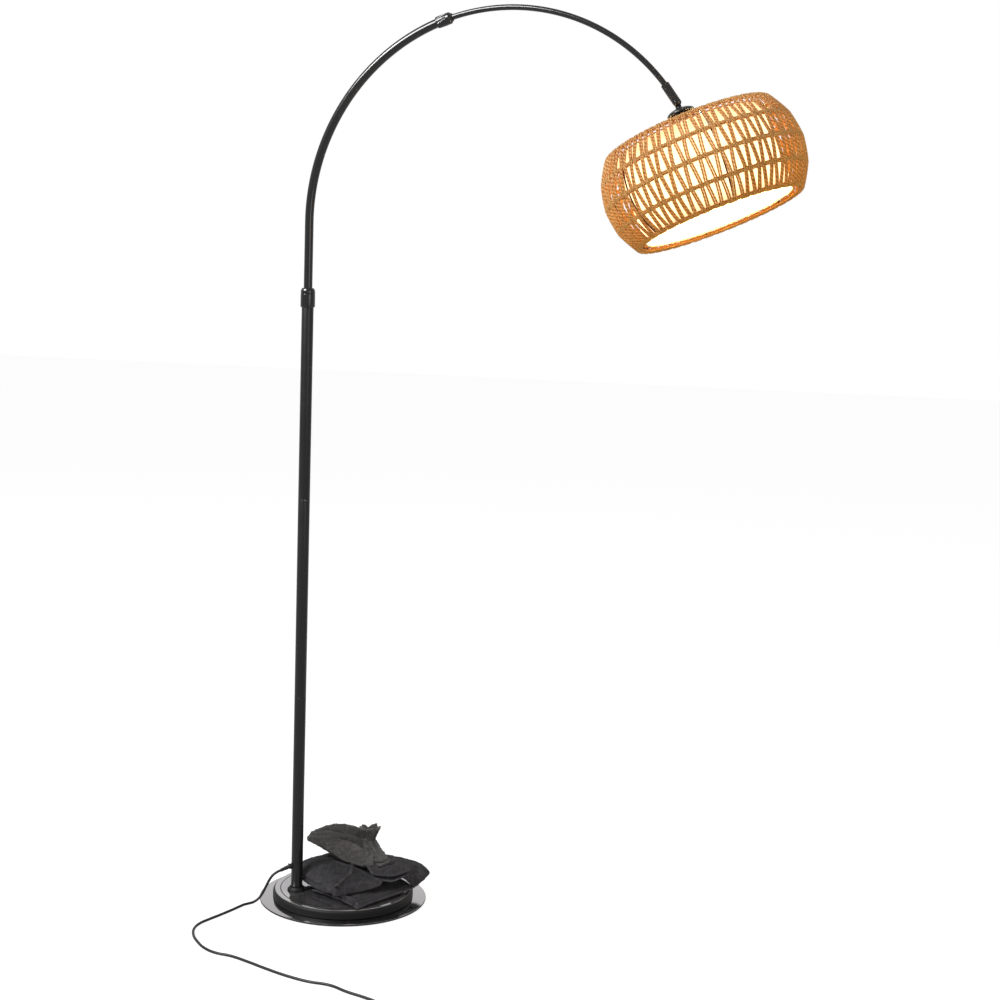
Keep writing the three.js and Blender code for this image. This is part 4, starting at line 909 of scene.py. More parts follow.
def sleevePlace():
    # The pivot, turned so that +Z points back along the thin rod.
    back = onArch(arm["rodEnd"] - math.degrees(sleeve["length"] / arm["radius"])) - pivotPoint
    return Matrix.Translation(pivotPoint) @ Matrix.Rotation(math.atan2(back.x, back.z), 4, "Y")


def addSleeve():
    r, long, lip, bore = sleeve["radius"], sleeve["length"], sleeve["lip"], sleeve["bore"]
    outline = [(0, -r)] + arc(0, 0, r, -90, 0, 12)[1:] + [(r, long - lip), (r - lip, long), (bore, long)]
    outline += [(bore, sleeve["boreStart"]), (0, sleeve["boreStart"])]
    far = r + sleeve["slotDeep"] + 0.004
    slot = block((r * 4, sleeve["slot"], far), (0, 0, sleeve["slotDeep"] - far / 2))
    bm = subtract(spun(outline, 64), slot, rodAlongY(sleeve["hole"], r * 4))
    addPiece("forkSleeve", bm, "satinBlack", "arm", ["end_sleeve"], sleevePlace())


def addPivotScrew():
    # Lies across the fork, with a hexagonal recess in its head and a nut on its far end.
    place = sleevePlace() @ Matrix.Rotation(math.pi / 2, 4, "X")
    side = sleeve["radius"] + base["play"]
    start, end = -side - pin["headHigh"], side + pin["nutHigh"]
    outline = [(0, start), (pin["head"], start), (pin["head"], -side)]
    outline += [(pin["radius"], -side), (pin["radius"], end), (0, end)]
    socket = spun(band(0, pin["socket"], start - 0.001, -side - pin["socketEnd"]), 6)
    screw = subtract(spun(rounded(outline, pin["edge"]), 40), socket)
    addPiece("pivotScrew", screw, "satinBlack", "arm", ["pivot_screw"], place)
    corner, edge, bore = pin["nutAcross"] / 2 / math.cos(math.pi / 6), pin["nutEdge"], pin["radius"] + 0.0003
    nut = [(bore, side), (corner - edge, side), (corner, side + edge), (corner, end - 3 * edge)]
    nut += [(corner - pin["nutSlope"], end - edge), (bore, end - edge)]
    addPiece("pivotNut", spun(nut, 6), "satinBlack", "arm", ["pivot_nut"], place, 20)


def addTongue():
    t = tongue
    start, low = -t["neckStart"], -t["neckStart"] - t["length"]
    plate = rodAlongY(t["round"], t["thick"], 48, t["edge"])
    web = block((t["neck"] * 2, t["thick"], 0.002 - start), (0, 0, (start - 0.002) / 2))
    nipple = spun(rounded(band(0, t["neck"], low, start), t["neckEdge"]), 48)
    bore = spun(band(0, t["bore"], low - 0.002, start - 0.004), 32)
    bm = combine(combine(plate, web, "UNION"), nipple, "UNION")
    bm = subtract(bm, bore, rodAlongY(sleeve["hole"], t["thick"] * 3))
    addPiece("tiltTongue", bm, "satinBlack", "shade", ["tilt_tongue"], shadeMatrix)


addBentTubes()
addUpperCollar()
addSleeve()
addPivotScrew()
addTongue()
print("arm made")

# Lamp holder and bulb, measured down the shade's axis from the tilt axis
holder = {
    "nipple": 0.0053, "capStart": 0.012, "capRadius": 0.024, "capDeep": 0.009, "capWall": 0.0015,
    "capEdge": 0.0004, "start": 0.014, "outer": 0.021, "shoulder": 0.0445, "thread": 0.019, "end": 0.070,
    "wall": 0.0035, "pitch": 0.0024, "threadDeep": 0.0007, "edge": 0.0005, "ringRadius": 0.023,
    "ringHigh": 0.008, "ringEdge": 0.0008, "hubHigh": 0.002, "coreStart": 0.0327, "coreThick": 0.006,
    "ribs": 36, "ribDeep": 0.0006,
}
bulb = {
    "radius": 0.030, "length": 0.080, "wall": 0.0012, "neck": 0.0129, "shoulder": 0.0115, "capLong": 0.025,
    "pitch": 0.0024, "turns": 8, "threadDeep": 0.0009, "contact": 0.0016, "shell": 0.0015,
}


def downward(outline):
    return [(r, -s) for r, s in outline]


def addHolder():
    h = holder
    nipple, radius, wall, edge = h["nipple"], h["capRadius"], h["capWall"], h["capEdge"]
    flat, span, rimAt = h["capDeep"] - wall * 2, radius - nipple, h["capStart"] + h["capDeep"]
    shares = [k / 12 for k in range(13)]
    outside = [(nipple + span * t, h["capStart"] + flat * t ** 3) for t in shares]
    inside = [(nipple + (span - wall) * t, h["capStart"] + wall + flat * t ** 3) for t in reversed(shares)]
    low = outside[-1][1]
    cap = outside[:-1] + [(radius - 0.0003, low - edge), (radius, low + 0.0006), (radius, rimAt - edge)]
    cap += [(radius - edge, rimAt), (radius - wall, rimAt)] + inside
    addPiece("domeCap", spun(downward(cap), 72), "satinBlack", "shade", ["socket_cap"],
             shadeMatrix, 40)

    thread, shoulder, edge, outer = h["thread"], h["shoulder"], h["edge"], h["outer"]
    bore, floorAt = thread - h["wall"], rimAt + 0.008 - wall
    body = [(nipple, h["start"] + wall), (nipple * 2, h["start"] + wall), (nipple * 2, rimAt)]
    body += [(outer - 0.0008, rimAt), (outer - 0.0003, rimAt + 0.002), (outer, rimAt + 0.0023)]
    body += [(outer, shoulder - edge), (outer - edge, shoulder), (thread, shoulder)]
    for k in range(int((h["end"] - shoulder - 0.004) / h["pitch"])):
        s = shoulder + 0.003 + k * h["pitch"]
        body += [(thread - h["threadDeep"], s), (thread, s + h["pitch"] * 0.4),
                 (thread, s + h["pitch"] * 0.6)]
    body += [(thread, h["end"] - edge), (thread - edge, h["end"]), (bore, h["end"]), (bore, floorAt)]
    bm = spun(downward(body + [(nipple, floorAt)]), 72)
    addPiece("holderBody", bm, "mouldedBlack", "shade", ["lamp_holder"], shadeMatrix)


def addRingNut():
    h = holder
    radius, edge, bore = h["ringRadius"], h["ringEdge"], h["thread"] + 0.0003
    top = h["shoulder"] + h["hubHigh"] + 0.0006
    outline = [(bore, top), (radius - edge, top)]
    outline += [(radius, top + h["ringHigh"] * t) for t in (0.06, 0.35, 0.65, 0.94)]
    outline += [(radius - edge, top + h["ringHigh"]), (bore, top + h["ringHigh"])]
    bm = spun(downward(outline), h["ribs"] * 4)
    for v in bm.verts:
        flat = Vector((v.co.x, v.co.y))
        if flat.length > radius - 0.0002:
            wave = 0.5 - 0.5 * math.cos(h["ribs"] * math.atan2(flat.y, flat.x))
            flat *= 1 - h["ribDeep"] / radius * wave
            v.co.x, v.co.y = flat
    addPiece("ringNut", bm, "mouldedBlack", "shade", ["shade_clamp_ring"], shadeMatrix, 30)


def addBulb():
    play = base["play"]
    top = holder["coreStart"] + holder["coreThick"] + play + bulb["contact"] + play
    end = top + bulb["capLong"]
    radius = holder["thread"] - holder["wall"] - play - bulb["shell"] - play
    screw = [(0, top), (0.004, top), (0.0045, top + 0.001), (radius - 0.001, top + 0.0035)]
    for k in range(bulb["turns"]):
        s = top + 0.004 + k * bulb["pitch"]
        screw += [(radius - bulb["threadDeep"], s), (radius, s + 0.0009), (radius, s + 0.0014)]
    screw += [(radius - 0.0006, end - 0.0008), (radius - 0.0006, end), (0, end)]
    addPiece("bulbScrew", spun(downward(screw), 48), "brass", "shade", ["bulb_cap"], shadeMatrix, 40)

    start = end + play
    ball = start + bulb["length"] - bulb["radius"]

    def skin(shrink):
        neck = bulb["neck"] - shrink
        sphere = arc(0, ball, bulb["radius"] - shrink, -52, 90, 22)
        return [(neck, start), (neck, start + bulb["shoulder"])] + sphere[:-1] + [(0, sphere[-1][1])]

    glass = spun(downward(skin(0) + skin(bulb["wall"])[::-1]), 64)
    addPiece("bulbGlass", glass, "opal", "shade", ["bulb_globe"], shadeMatrix, 0)


addHolder()
addRingNut()
addBulb()
print("lamp holder and bulb made")

# Wire frame and cloth liner inside the weave
frameWire = {
    "wire": 0.0015, "inset": 0.0091, "ribs": 6, "ribTurn": -67, "hub": 0.026, "hubHigh": 0.002, "arms": 3,
    "arm": 0.002, "gap": 0.0003, "bore": 0.0193, "edge": 0.0004, "ropeLength": 0.9,
}
liner = {
    "radius": 0.132, "wall": 0.001, "topInset": 0.0125, "bottomInset": 0.012, "wire": 0.0015, "lugs": 3,
    "lug": 0.00105, "hem": 0.007, "hemThick": 0.0006, "rows": 14,
}


def ribTurns(count):
    return [math.radians(frameWire["ribTurn"]) + math.tau * k / count for k in range(count)]


def wireRing(name, radius, z, wire, look, nodes=(), bevel=4, length=None):
    turns = [math.tau * k / 120 for k in range(120)]
    path = [shadeMatrix @ Vector((radius * math.cos(turn), radius * math.sin(turn), z)) for turn in turns]
    tubes(name, [path], wire, look, "shade", nodes, closed=True, bevel=bevel, length=length)


def addWireFrame():
    f = frameWire
    for name, angle in (("wireRingTop", -sideAngle), ("wireRingBottom", sideAngle)):
        spot = onSide(angle, f["inset"])
        wireRing(name, spot.x, spot.z, f["wire"], "rope", length=f["ropeLength"])
    start = -sideAngle + (max(f["wire"], f["arm"]) + f["gap"]) / sideRadius
    angles = [start + (sideAngle - start) * k / 40 for k in range(41)]
    ribs = [[shadeMatrix @ onSide(angle, f["inset"], turn) for angle in angles]
            for turn in ribTurns(f["ribs"])]
    tubes("wireRibs", ribs, f["wire"], "brownWire", "shade", ["shade_rib_cage"], bevel=4)
    hubTop = holder["shoulder"] + f["gap"]
    middle, reach = -(hubTop + f["hubHigh"] / 2), f["hub"] - f["arm"] / 2
    arms = []
    for turn in ribTurns(f["arms"]):
        near = Vector((reach * math.cos(turn), reach * math.sin(turn), middle))
        far = onSide(-sideAngle, f["inset"], turn)
        arms.append([shadeMatrix @ near.lerp(far, k / 8) for k in range(9)])
    tubes("spiderArms", arms, f["arm"], "brownWire", "shade", bevel=4)
    hub = downward(band(f["bore"], f["hub"], hubTop, hubTop + f["hubHigh"]))
    bm = spun(rounded(hub + hub[:1], f["edge"]), 72)
    addPiece("spiderHub", bm, "brownWire", "shade", ["shade_spider"], shadeMatrix)


def addLiner():
    f = liner
    top, bottom = shade["start"] + f["topInset"], shade["start"] + shade["height"] - f["bottomInset"]
    outer, thick, hem, rows = f["radius"], f["hemThick"], f["hem"], f["rows"]
    inner, low, high = outer - f["wall"], top + hem + 0.001, bottom - hem - 0.001
    outline = [(inner - thick, top + 0.0004), (inner, top), (outer - 0.0003, top)]
    outline += [(outer, top + 0.0006), (outer, top + hem), (outer - thick, top + hem + 0.0006)]
    outline += [(outer - thick, low + (high - low) * k / rows) for k in range(1, rows)]
    outline += [(outer - thick, bottom - hem - 0.0006), (outer, bottom - hem), (outer, bottom - 0.0006)]
    outline += [(outer - 0.0003, bottom), (inner - thick, bottom), (inner - thick, bottom - hem)]
    outline += [(inner - thick, high - (high - low) * k / rows) for k in range(rows + 1)]
    outline += [(inner - thick, top + hem)]
    bm = spun(downward(outline), 144)
    addPiece("clothLiner", bm, "linen", "shade", ["shade_liner"], shadeMatrix, 50)
    off, radius, inset = f["wire"] + base["play"], outer - f["wire"], frameWire["inset"]
    rings = (("linerRingHigh", top - off, "liner_top_ring"),
             ("linerRingLow", bottom + off, "liner_bottom_ring"))
    for name, at, node in rings:
        wireRing(name, radius, -at, f["wire"], "linenWire", [node], bevel=3)
        angle = math.asin((at - shade["start"] - halfHeight) / (sideRadius - inset))
        reach = onSide(angle, inset).x - frameWire["wire"] - 2 * base["play"]
        lugs = []
        for turn in ribTurns(f["lugs"]):
            spots = [(r * math.cos(turn), r * math.sin(turn), -at)
                     for r in (radius, (radius + reach) / 2, reach)]
            lugs.append([shadeMatrix @ Vector(spot) for spot in spots])
        tubes(name + "Lugs", lugs, f["lug"], "brownWire", "shade", bevel=2)


addWireFrame()
addLiner()
print("wire frame and liner made")

# Strain relief, foot switch and plug
relief = {
    "hole": 0.0043, "flange": 0.006, "flangeHigh": 0.002, "tip": 0.0032, "long": 0.018, "bore": 0.0028,
    "ribs": 5, "ribDeep": 0.0008, "edge": 0.0003,
}
switch = {
    "length": 0.060, "width": 0.033, "base": 0.009, "cover": 0.008, "corner": 0.013, "port": 0.0043,
    "portLong": 0.008, "low": 0.0001, "wall": 0.002, "button": 0.0085, "stands": 0.003, "edge": 0.0006,
    "footEdge": 0.0012, "coverEdge": 0.0045, "lip": 0.0015, "crownEdge": 0.0015,
}
spring = {"coil": 0.0039, "wire": 0.0006, "turns": 4.5, "foot": 0.0024, "start": 0.003, "seat": 0.0026,
          "travel": 0.0026}
plug = {
    "length": 0.028, "width": 0.025, "height": 0.016, "corner": 0.006, "bevel": 0.0015, "backBevel": 0.0025,
    "relief": 0.020, "reliefStart": 0.006, "reliefEnd": 0.0035, "ribs": 6, "ribDeep": 0.0008,
    "bladeLong": 0.017, "bladeWide": 0.0064, "bladeThick": 0.0015, "bladeApart": 0.0127, "bladeBevel": 0.0016,
    "eye": 0.0016, "eyeFromTip": 0.0045, "slot": 0.0003,
}


def addRelief():
    f = relief
    out = glandDirection()
    place = Matrix.Translation((poleFoot["x"], poleFoot["y"], lead["glandHeight"]))
    place = place @ up.rotation_difference(out).to_matrix().to_4x4()
    fall = math.radians(lead["glandFall"])
    flangeAt = (pole["outer"] + base["play"] + f["flange"] * math.sin(fall)) / math.cos(fall)
    start, end = flangeAt + f["flangeHigh"], flangeAt + f["flangeHigh"] + f["long"]
    inside = pole["outer"] - pole["wall"] - f["flangeHigh"]
    outline = [(f["bore"], inside), (f["hole"], inside), (f["hole"], flangeAt), (f["flange"], flangeAt)]
    outline += [(f["flange"], start - 0.0004), (f["flange"] - 0.0006, start)]
    for k in range(f["ribs"]):
        share = k / f["ribs"]
        wide = f["hole"] + (f["tip"] - f["hole"]) * share
        at, step = start + f["long"] * share, f["long"] / f["ribs"]
        outline += [(wide, at + step * 0.1), (wide, at + step * 0.6)]
        outline += [(wide - f["ribDeep"], at + step * 0.7), (wide - f["ribDeep"], at + step)]
    outline += [(f["tip"], end - 0.0006), (f["tip"] - 0.0002, end), (f["bore"], end)]
    bm = spun(rounded(outline, f["edge"], 2), 40)
    addPiece("leadSleeve", bm, "rubber", "base", ["cord_strain_relief"], place, 40)


def addSwitch():
    s = switch
    place = setMatrix @ Matrix.Translation((lead["switchX"], coilOuter, 0))
    length, width, wall, button, lip = s["length"], s["width"], s["wall"], s["button"], s["lip"]
    low, middle = s["low"], s["low"] + s["base"]
    shell = roundedBlock(length, width, low, middle, s["corner"])
    bevel(shell, lambda a, b: max(a.z, b.z) < low + 1e-5, s["footEdge"], 3)
    span, port, edge = length / 2 + s["portLong"], s["port"], s["edge"]
    outline = [(0, -span), (port - edge, -span), (port, edge - span)]
    outline += [(port, span - edge), (port - edge, span), (0, span)]
    ports = spun(outline, 40)
    across = Matrix.Translation((0, 0, port + low)) @ Matrix.Rotation(math.pi / 2, 4, "Y")
    bmesh.ops.transform(ports, verts=ports.verts, matrix=across)
    well = roundedBlock(length - 4 * wall, width - 2 * wall, low + wall, middle + 0.001, s["corner"] - wall)
    bm = subtract(combine(shell, ports, "UNION"), well)
    addPiece("switchShell", bm, "mouldedBlack", "base", ["foot_switch_base"], place)

    low = middle + base["play"]
    top = low + s["cover"]
    cover = roundedBlock(length, width, low, top, s["corner"], s["coverEdge"], 8)
    hole = spun(band(0, button + 0.0003, low - 0.001, top + 0.001), 64)
    room = spun(band(0, button + wall + 0.0003, low - 0.001, top - wall), 64)
    bm = subtract(cover, hole, room)
    addPiece("switchCover", bm, "mouldedBlack", "base", ["foot_switch_cover"], place, 30)

    lipTop, crown, edge = top - wall - base["play"], top + s["stands"], s["crownEdge"]
    lipLow = lipTop - lip
    outline = [(0, lipLow), (button + wall, lipLow), (button + wall, lipTop), (button, lipTop)]
    outline += [(button, crown - edge)] + arc(button - edge, crown - edge, edge, 0, 90, 5)[1:]
    outline += [(button - 0.002, crown - 0.0002), (button - 0.004, crown - 0.0006), (0, crown - 0.0009)]
    bm = spun(outline, 64)
    addPiece("switchPush", bm, "mouldedBlack", "button", ["switch_button"], place)
    addSpring(place, lipLow)


def addSpring(place, top):
    # The coiled spring under the button.
    f = spring
    coil = []
    for k in range(81):
        a = math.tau * f["turns"] * k / 80
        height = f["start"] + (top - f["start"] - 0.0008) * (k / 80)
        coil.append(place @ Vector((f["coil"] * math.cos(a), f["coil"] * math.sin(a), height)))
    piece = tubes("pushSpring", [coil], f["wire"], "zinc", "base", ["button_spring"], bevel=3)
    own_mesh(piece)


def addPlug():
    p = plug
    axes = Matrix.Rotation(-math.pi / 2, 4, "Y")
    spot = (-(lead["tailOut"] + base["play"]), -coilOuter, lead["plugAxis"])
    place = setMatrix @ Matrix.Translation(spot) @ axes
    start, face, thick, broad = p["relief"], p["relief"] + p["length"], p["bladeThick"], p["bladeWide"]
    body = roundedBlock(p["height"], p["width"], start, face, p["corner"], p["bevel"])
    bevel(body, lambda a, b: max(a.z, b.z) < start + 1e-5, p["backBevel"], 4)
    outline = [(0, 0), (p["reliefEnd"], 0)]
    for k in range(p["ribs"]):
        share = k / p["ribs"]
        wide = p["reliefEnd"] + (p["reliefStart"] - p["reliefEnd"]) * share
        at, step = start * share, start / p["ribs"]
        outline += [(wide, at + step * 0.55), (wide - p["ribDeep"], at + step * 0.65)]
        outline += [(wide - p["ribDeep"], at + step * 0.95), (wide + 0.0002, at + step)]
    outline += [(p["reliefStart"], start + 0.003), (0, start + 0.003)]
    bm = combine(body, spun(outline, 40), "UNION")
    size = (thick + 2 * p["slot"], broad + 2 * p["slot"], p["length"])
    pockets = [block(size, (0, side * p["bladeApart"] / 2, face)) for side in (-1, 1)]
    addPiece("plugMoulding", subtract(bm, *pockets), "rubber", "base", ["plug_body"], place)
    low, high = face - p["length"] / 2 + p["slot"], face + p["bladeLong"]
    for side, name in ((-1, "left"), (1, "right")):
        blade = block((thick, broad, high - low), (0, 0, (low + high) / 2))
        bevel(blade, lambda a, b: abs(a.x - b.x) > 1e-5 and a.z > high - 1e-5, p["bladeBevel"], 6)
        eye = spun(band(0, p["eye"], -0.003, 0.003), 24)
        across = Matrix.Translation((0, 0, high - p["eyeFromTip"])) @ Matrix.Rotation(math.pi / 2, 4, "Y")
        bmesh.ops.transform(eye, verts=eye.verts, matrix=across)
        shift = Matrix.Translation((0, side * p["bladeApart"] / 2, 0))
        node = f"plug_blade_{name}"
        addPiece(name + "Blade", subtract(blade, eye), "brass", "base", [node], place @ shift, 30)


addRelief()
addSwitch()
addPlug()
print("lead fittings made")

# Ballast bags: canvas pouches piled on the base. Points are millimetres across, deep and high, in axes
# turned with the pile, so that the first runs along its front; the fourth number is the thickness.
# A wrinkle is the depth, scale, seed and stretch of its noise; cap is how far the cloth may move.
pile = {
    "turn": 0.345, "rest": 0.0006, "above": 0.3, "step": 0.0021, "voxel": 0.0019, "soften": 0.5, "frames": 14,
}
cloth = {
    "quality": 4, "mass": 0.3, "tension_stiffness": 12, "compression_stiffness": 12, "shear_stiffness": 4,
    "bending_stiffness": 0.3, "use_pressure": True, "uniform_pressure_force": 2.5, "shrink_min": -0.04,
}
pileAxes = Matrix.Rotation(pile["turn"], 4, "Z") @ Matrix.Diagonal((0.001, 0.001, 0.001, 1))
lowerBag = {
    "corners": [(38, -123), (138, -14), (62, 73), (-56, -38)], "pull": 0.04, "cap": 0.003,
    "fill": 0.7, "wrinkle": (0.0005, 55, 1),
    "along": (0, 0.03, 0.1, 0.5, 0.9, 0.97, 1), "across": (0, 0.06, 0.12, 0.24, 0.5, 0.88, 0.95, 1),
    "heights": [
        [(23, 2), (23, 2), (23.5, 2.2), (25, 2.2), (28, 2.2), (29, 2), (29, 2)],
        [(23.5, 2), (24, 2.2), (24.5, 2.6), (26.5, 3), (29.5, 2.6), (30, 2.2), (29.5, 2)],
        [(24, 2), (25, 3), (26.5, 7), (29, 9), (31, 7), (31, 3), (30, 2)],
        [(25, 2), (27, 6), (29, 13), (31, 18), (32, 14), (31.5, 6), (31, 2)],
        [(26, 2), (28, 7), (30, 18), (31, 21), (31, 18), (31, 7), (31, 2)],
        [(26, 2), (27, 5), (29, 13), (30, 17), (30, 13), (30, 5), (29, 2)],
        [(26, 2), (26, 3), (27, 5), (28, 6), (28, 5), (28, 3), (28, 2)],
        [(25, 2), (25, 2), (26, 2), (26, 2), (26, 2), (27, 2), (27, 2)],
    ],
}
middleBag = {
    "corners": [(-8, -104), (77, -53), (14, 84), (-91, 27)], "pull": 0.02, "cap": 0.005,
    "fill": 0.8, "wrinkle": (0.0008, 45, 2, (1.4, 0.8, 1)),
    "along": (0, 0.035, 0.12, 0.5, 0.9, 0.97, 1), "across": (0, 0.04, 0.12, 0.36, 0.7, 0.93, 0.97, 1),
    "heights": [
        [(43, 3), (42, 5), (41, 5), (41, 3), (45, 3), (51, 3), (54, 3)],
        [(44, 8), (45, 15), (44, 12), (42.5, 6), (47, 6), (52, 5), (54, 3)],
        [(42, 9), (45, 21), (46.5, 20), (45, 14), (49, 11), (52, 7), (54, 3)],
        [(34, 12), (39, 27), (44, 35), (50, 29), (52, 21), (52, 11), (53, 4)],
        [(31, 12), (38, 30), (45, 39), (53, 38), (54, 30), (53, 13), (53, 4)],
        [(34, 11), (40, 27), (48, 35), (57, 31), (56, 24), (54, 10), (53, 4)],
        [(41, 5), (46, 11), (51, 15), (57, 15), (56, 12), (54, 6), (53, 3)],
        [(48, 3), (50, 3), (53, 3), (56, 3), (56, 3), (54, 3), (53, 3)],
    ],
}
sideFold = {
    "cap": 0.003, "fill": 0.3, "wrinkle": (0.0007, 60, 3),
    "rows": [
        [(103, -21, 53, 3), (117, -15, 47, 4), (126, -13, 39, 4), (137, -13, 29, 3)],
        [(101, -12, 57, 8), (117, -8, 53, 9), (130, -7, 43, 8), (144, -2, 31, 3)],
        [(97, 8, 61, 11), (117, 10, 58, 12), (137, 12, 49, 11), (156, 18, 36, 3)],
        [(91, 34, 61, 12), (116, 36, 58, 12), (143, 36, 51, 11), (164, 38, 42, 3)],
        [(87, 58, 58, 11), (110, 60, 56, 11), (143, 57, 48, 9), (152, 50, 46, 3)],
        [(85, 67, 52, 3), (108, 69, 51, 3), (138, 66, 45, 3), (147, 57, 43, 2)],
    ],
}
rolledFold = {
    "cap": 0.003, "fill": 0.2, "wrinkle": (0.0006, 70, 4),
    "rows": [
        [(44, -12, 74, 3), (62, 4, 80, 3), (78, 12, 82, 3), (95, 18, 78, 3)],
        [(47, -32, 76, 3), (66, -17, 78, 4), (84, -5, 79, 4), (101, 1, 75, 3)],
        [(54, -42, 69, 3), (76, -33, 72, 4), (97, -25, 73, 4), (121, -19, 71, 3)],
        [(60, -47, 64, 3), (80, -48, 63, 3), (98, -46, 63, 3), (129, -27, 68, 3)],
        [(62, -38, 60, 2), (81, -36, 59, 2), (99, -32, 59, 2), (116, -20, 63, 2)],
        [(61, -49, 56, 2), (82, -51, 54, 2), (100, -49, 53, 2), (127, -28, 61, 2)],
        [(63, -40, 54, 3), (82, -38, 54, 3), (100, -32, 55, 3), (118, -19, 59, 3)],
        [(64, -22, 58, 3), (80, -20, 60, 3), (98, -15, 60, 3), (112, -8, 60, 3)],
    ],
}
flapFold = {
    "cap": 0.0035, "fill": 0.3, "wrinkle": (0.0013, 58, 5, (0.8, 1.4, 1)),
    "rows": [
        [(-62, 26, 105, 4), (-40, 18, 95, 5), (-14, 20, 76, 5), (20, 6, 71, 5), (46, -8, 71, 5),
         (60, -8, 73, 5)],
        [(-70, 21, 106, 4), (-46, 6, 102, 5), (-20, 1, 87, 6), (19, -18, 76, 6), (48, -29, 76, 6),
         (58, -27, 78, 5)],
        [(-72, 20, 109, 4), (-46, 4, 106, 5), (-22, -1, 92, 6), (17, -18, 81, 6), (46, -29, 79, 6),
         (58, -26, 81, 5)],
        [(-73, 20, 112, 4), (-44, 14, 112, 5), (-21, 14, 108, 6), (6, 8, 105, 6), (37, 0, 95, 6),
         (56, -18, 87, 5)],
        [(-71, 22, 112, 3), (-39, 24, 107, 4), (-14, 26, 99, 4), (10, 22, 95, 4), (34, 14, 93, 4),
         (56, -4, 90, 4)],
        [(-70, 23, 114, 3), (-40, 33, 118, 4), (-12, 37, 113, 5), (12, 35, 110, 5), (32, 29, 107, 5),
         (54, 10, 99, 4)],
        [(-69, 25, 115, 3), (-38, 38, 115, 4), (-10, 43, 109, 4), (14, 41, 106, 4), (34, 35, 104, 4),
         (56, 18, 100, 4)],
        [(-66, 28, 117, 4), (-36, 43, 126, 5), (-8, 50, 126, 6), (14, 50, 122, 6), (34, 44, 116, 5),
         (58, 26, 104, 4)],
        [(-56, 36, 110, 4), (-30, 56, 110, 5), (-2, 66, 106, 5), (20, 64, 102, 5), (42, 54, 98, 5),
         (66, 34, 92, 4)],
        [(-40, 44, 86, 4), (-20, 62, 76, 5), (4, 72, 72, 5), (26, 70, 70, 5), (48, 60, 70, 5),
         (74, 40, 70, 4)],
    ],
}
# Rings of the neck: middle, height, radius, depth of its folds and how far they rise and fall
neckRings = [
    (64, -8, 73, 27, 0.04, 0), (62, -4, 82, 23, 0.07, 0), (55, 8, 94, 16.5, 0.12, 0),
    (48, 17, 104, 12.5, 0.16, 0),
    (44, 21, 112, 11.5, 0.16, 0), (45, 22, 120, 13.5, 0.16, 0.6), (46, 23, 129, 17, 0.16, 2),
    (47, 24, 135, 18.5, 0.17, 3),
    (47, 24, 134, 15, 0.17, 3), (46, 23, 127, 9.5, 0.14, 2), (45, 22, 119, 4, 0.1, 0),
]
ridges = {"fineScale": 2.3, "fineDepth": 0.35, "level": 0.3, "facing": 0.15, "reach": 4, "fall": 1.5}
# Ridges and hollows: a line over the cloth, its half width and its height
pressed = {
    "middlePouch": [
        ([(-6, -97), (9, -62), (17, -40), (18, -20)], 3.5, 4.2),
        ([(18, -20), (0, -12), (-16, -2), (-26, 18)], 4, 3),
        ([(18, -20), (38, -28), (60, -44), (72, -51)], 4, 3.4), ([(30, -60), (40, -40)], 9, -3),
        ([(-22, -58), (-34, -22)], 12, 1.6), ([(-8, -44), (-14, -26)], 7, -1.5),
        ([(-48, 4), (-30, 34)], 10, -1.6),
    ],
    "lowerPouch": [
        ([(28, -114), (126, -9)], 1.6, -1.8), ([(33, -117), (131, -11)], 1.4, 1.0),
        ([(8, -92), (30, -104), (38, -116)], 3.5, 2.2),
        ([(18, -86), (34, -96)], 4, -1.4), ([(-20, -66), (10, -74)], 8, -1.5),
        ([(60, -60), (90, -22)], 10, -1.2),
    ],
    "sideFold": [([(126, -3), (142, 16)], 8, -6), ([(100, 46), (146, 46)], 6, 1.6),
                 ([(96, 22), (140, 24)], 6, -2)],
    "rolledFold": [([(70, -33), (84, -25), (97, -12)], 3.5, -4.5), ([(58, -22), (78, -6)], 3, 1.2)],
    "topFlap": [
        ([(-60, 18), (-21, 14), (6, 8), (37, -1), (48, -12)], 3, 2.2),
        ([(46, -30), (44, -8), (40, 14)], 3, 2),
        ([(-46, 30), (-14, 33), (24, 30)], 4, -2), ([(-20, 47), (10, 51), (30, 45)], 3, 1.5),
        ([(-6, -6), (20, -6)], 8, -2),
    ],
}
eyelet = {
    "from": (-8, -240, 118), "to": (-4, -92, 52), "edge": 0.0002,
    "outline": [
        (0, 0.0003), (0.0021, 0.0003), (0.0023, 0.0008), (0.0032, 0.0009), (0.0037, 0.0004),
        (0.0037, -0.0012), (0, -0.0012),
    ],
}


def curved(points, steps):
    # A smooth line through all the given points.
    made = []
    last = len(points) - 1
    for k in range(last):
        a, b, c, d = points[max(0, k - 1)], points[k], points[k + 1], points[min(last, k + 2)]
        for step in range(steps):
            t = step / steps
            bend = 2 * a - 5 * b + 4 * c - d + t * (3 * b - a - 3 * c + d)
            made.append(b + 0.5 * t * (c - a + t * bend))
    made.append(points[last].copy())
    return made


def evened(points, count):
    # The same line with its points at equal distances.
    lengths = [0]
    for a, b in zip(points, points[1:]):
        lengths.append(lengths[-1] + (b - a).length)
    made, k = [], 0
    for i in range(count):
        target = lengths[-1] * i / (count - 1)
        while k < len(points) - 2 and lengths[k + 1] < target:
            k += 1
        share = (target - lengths[k]) / max(1e-9, lengths[k + 1] - lengths[k])
        made.append(points[k].lerp(points[k + 1], min(1, share)))
    return made


def lineLength(line):
    return sum((Vector(a[:3]) - Vector(b[:3])).length for a, b in zip(line, line[1:]))


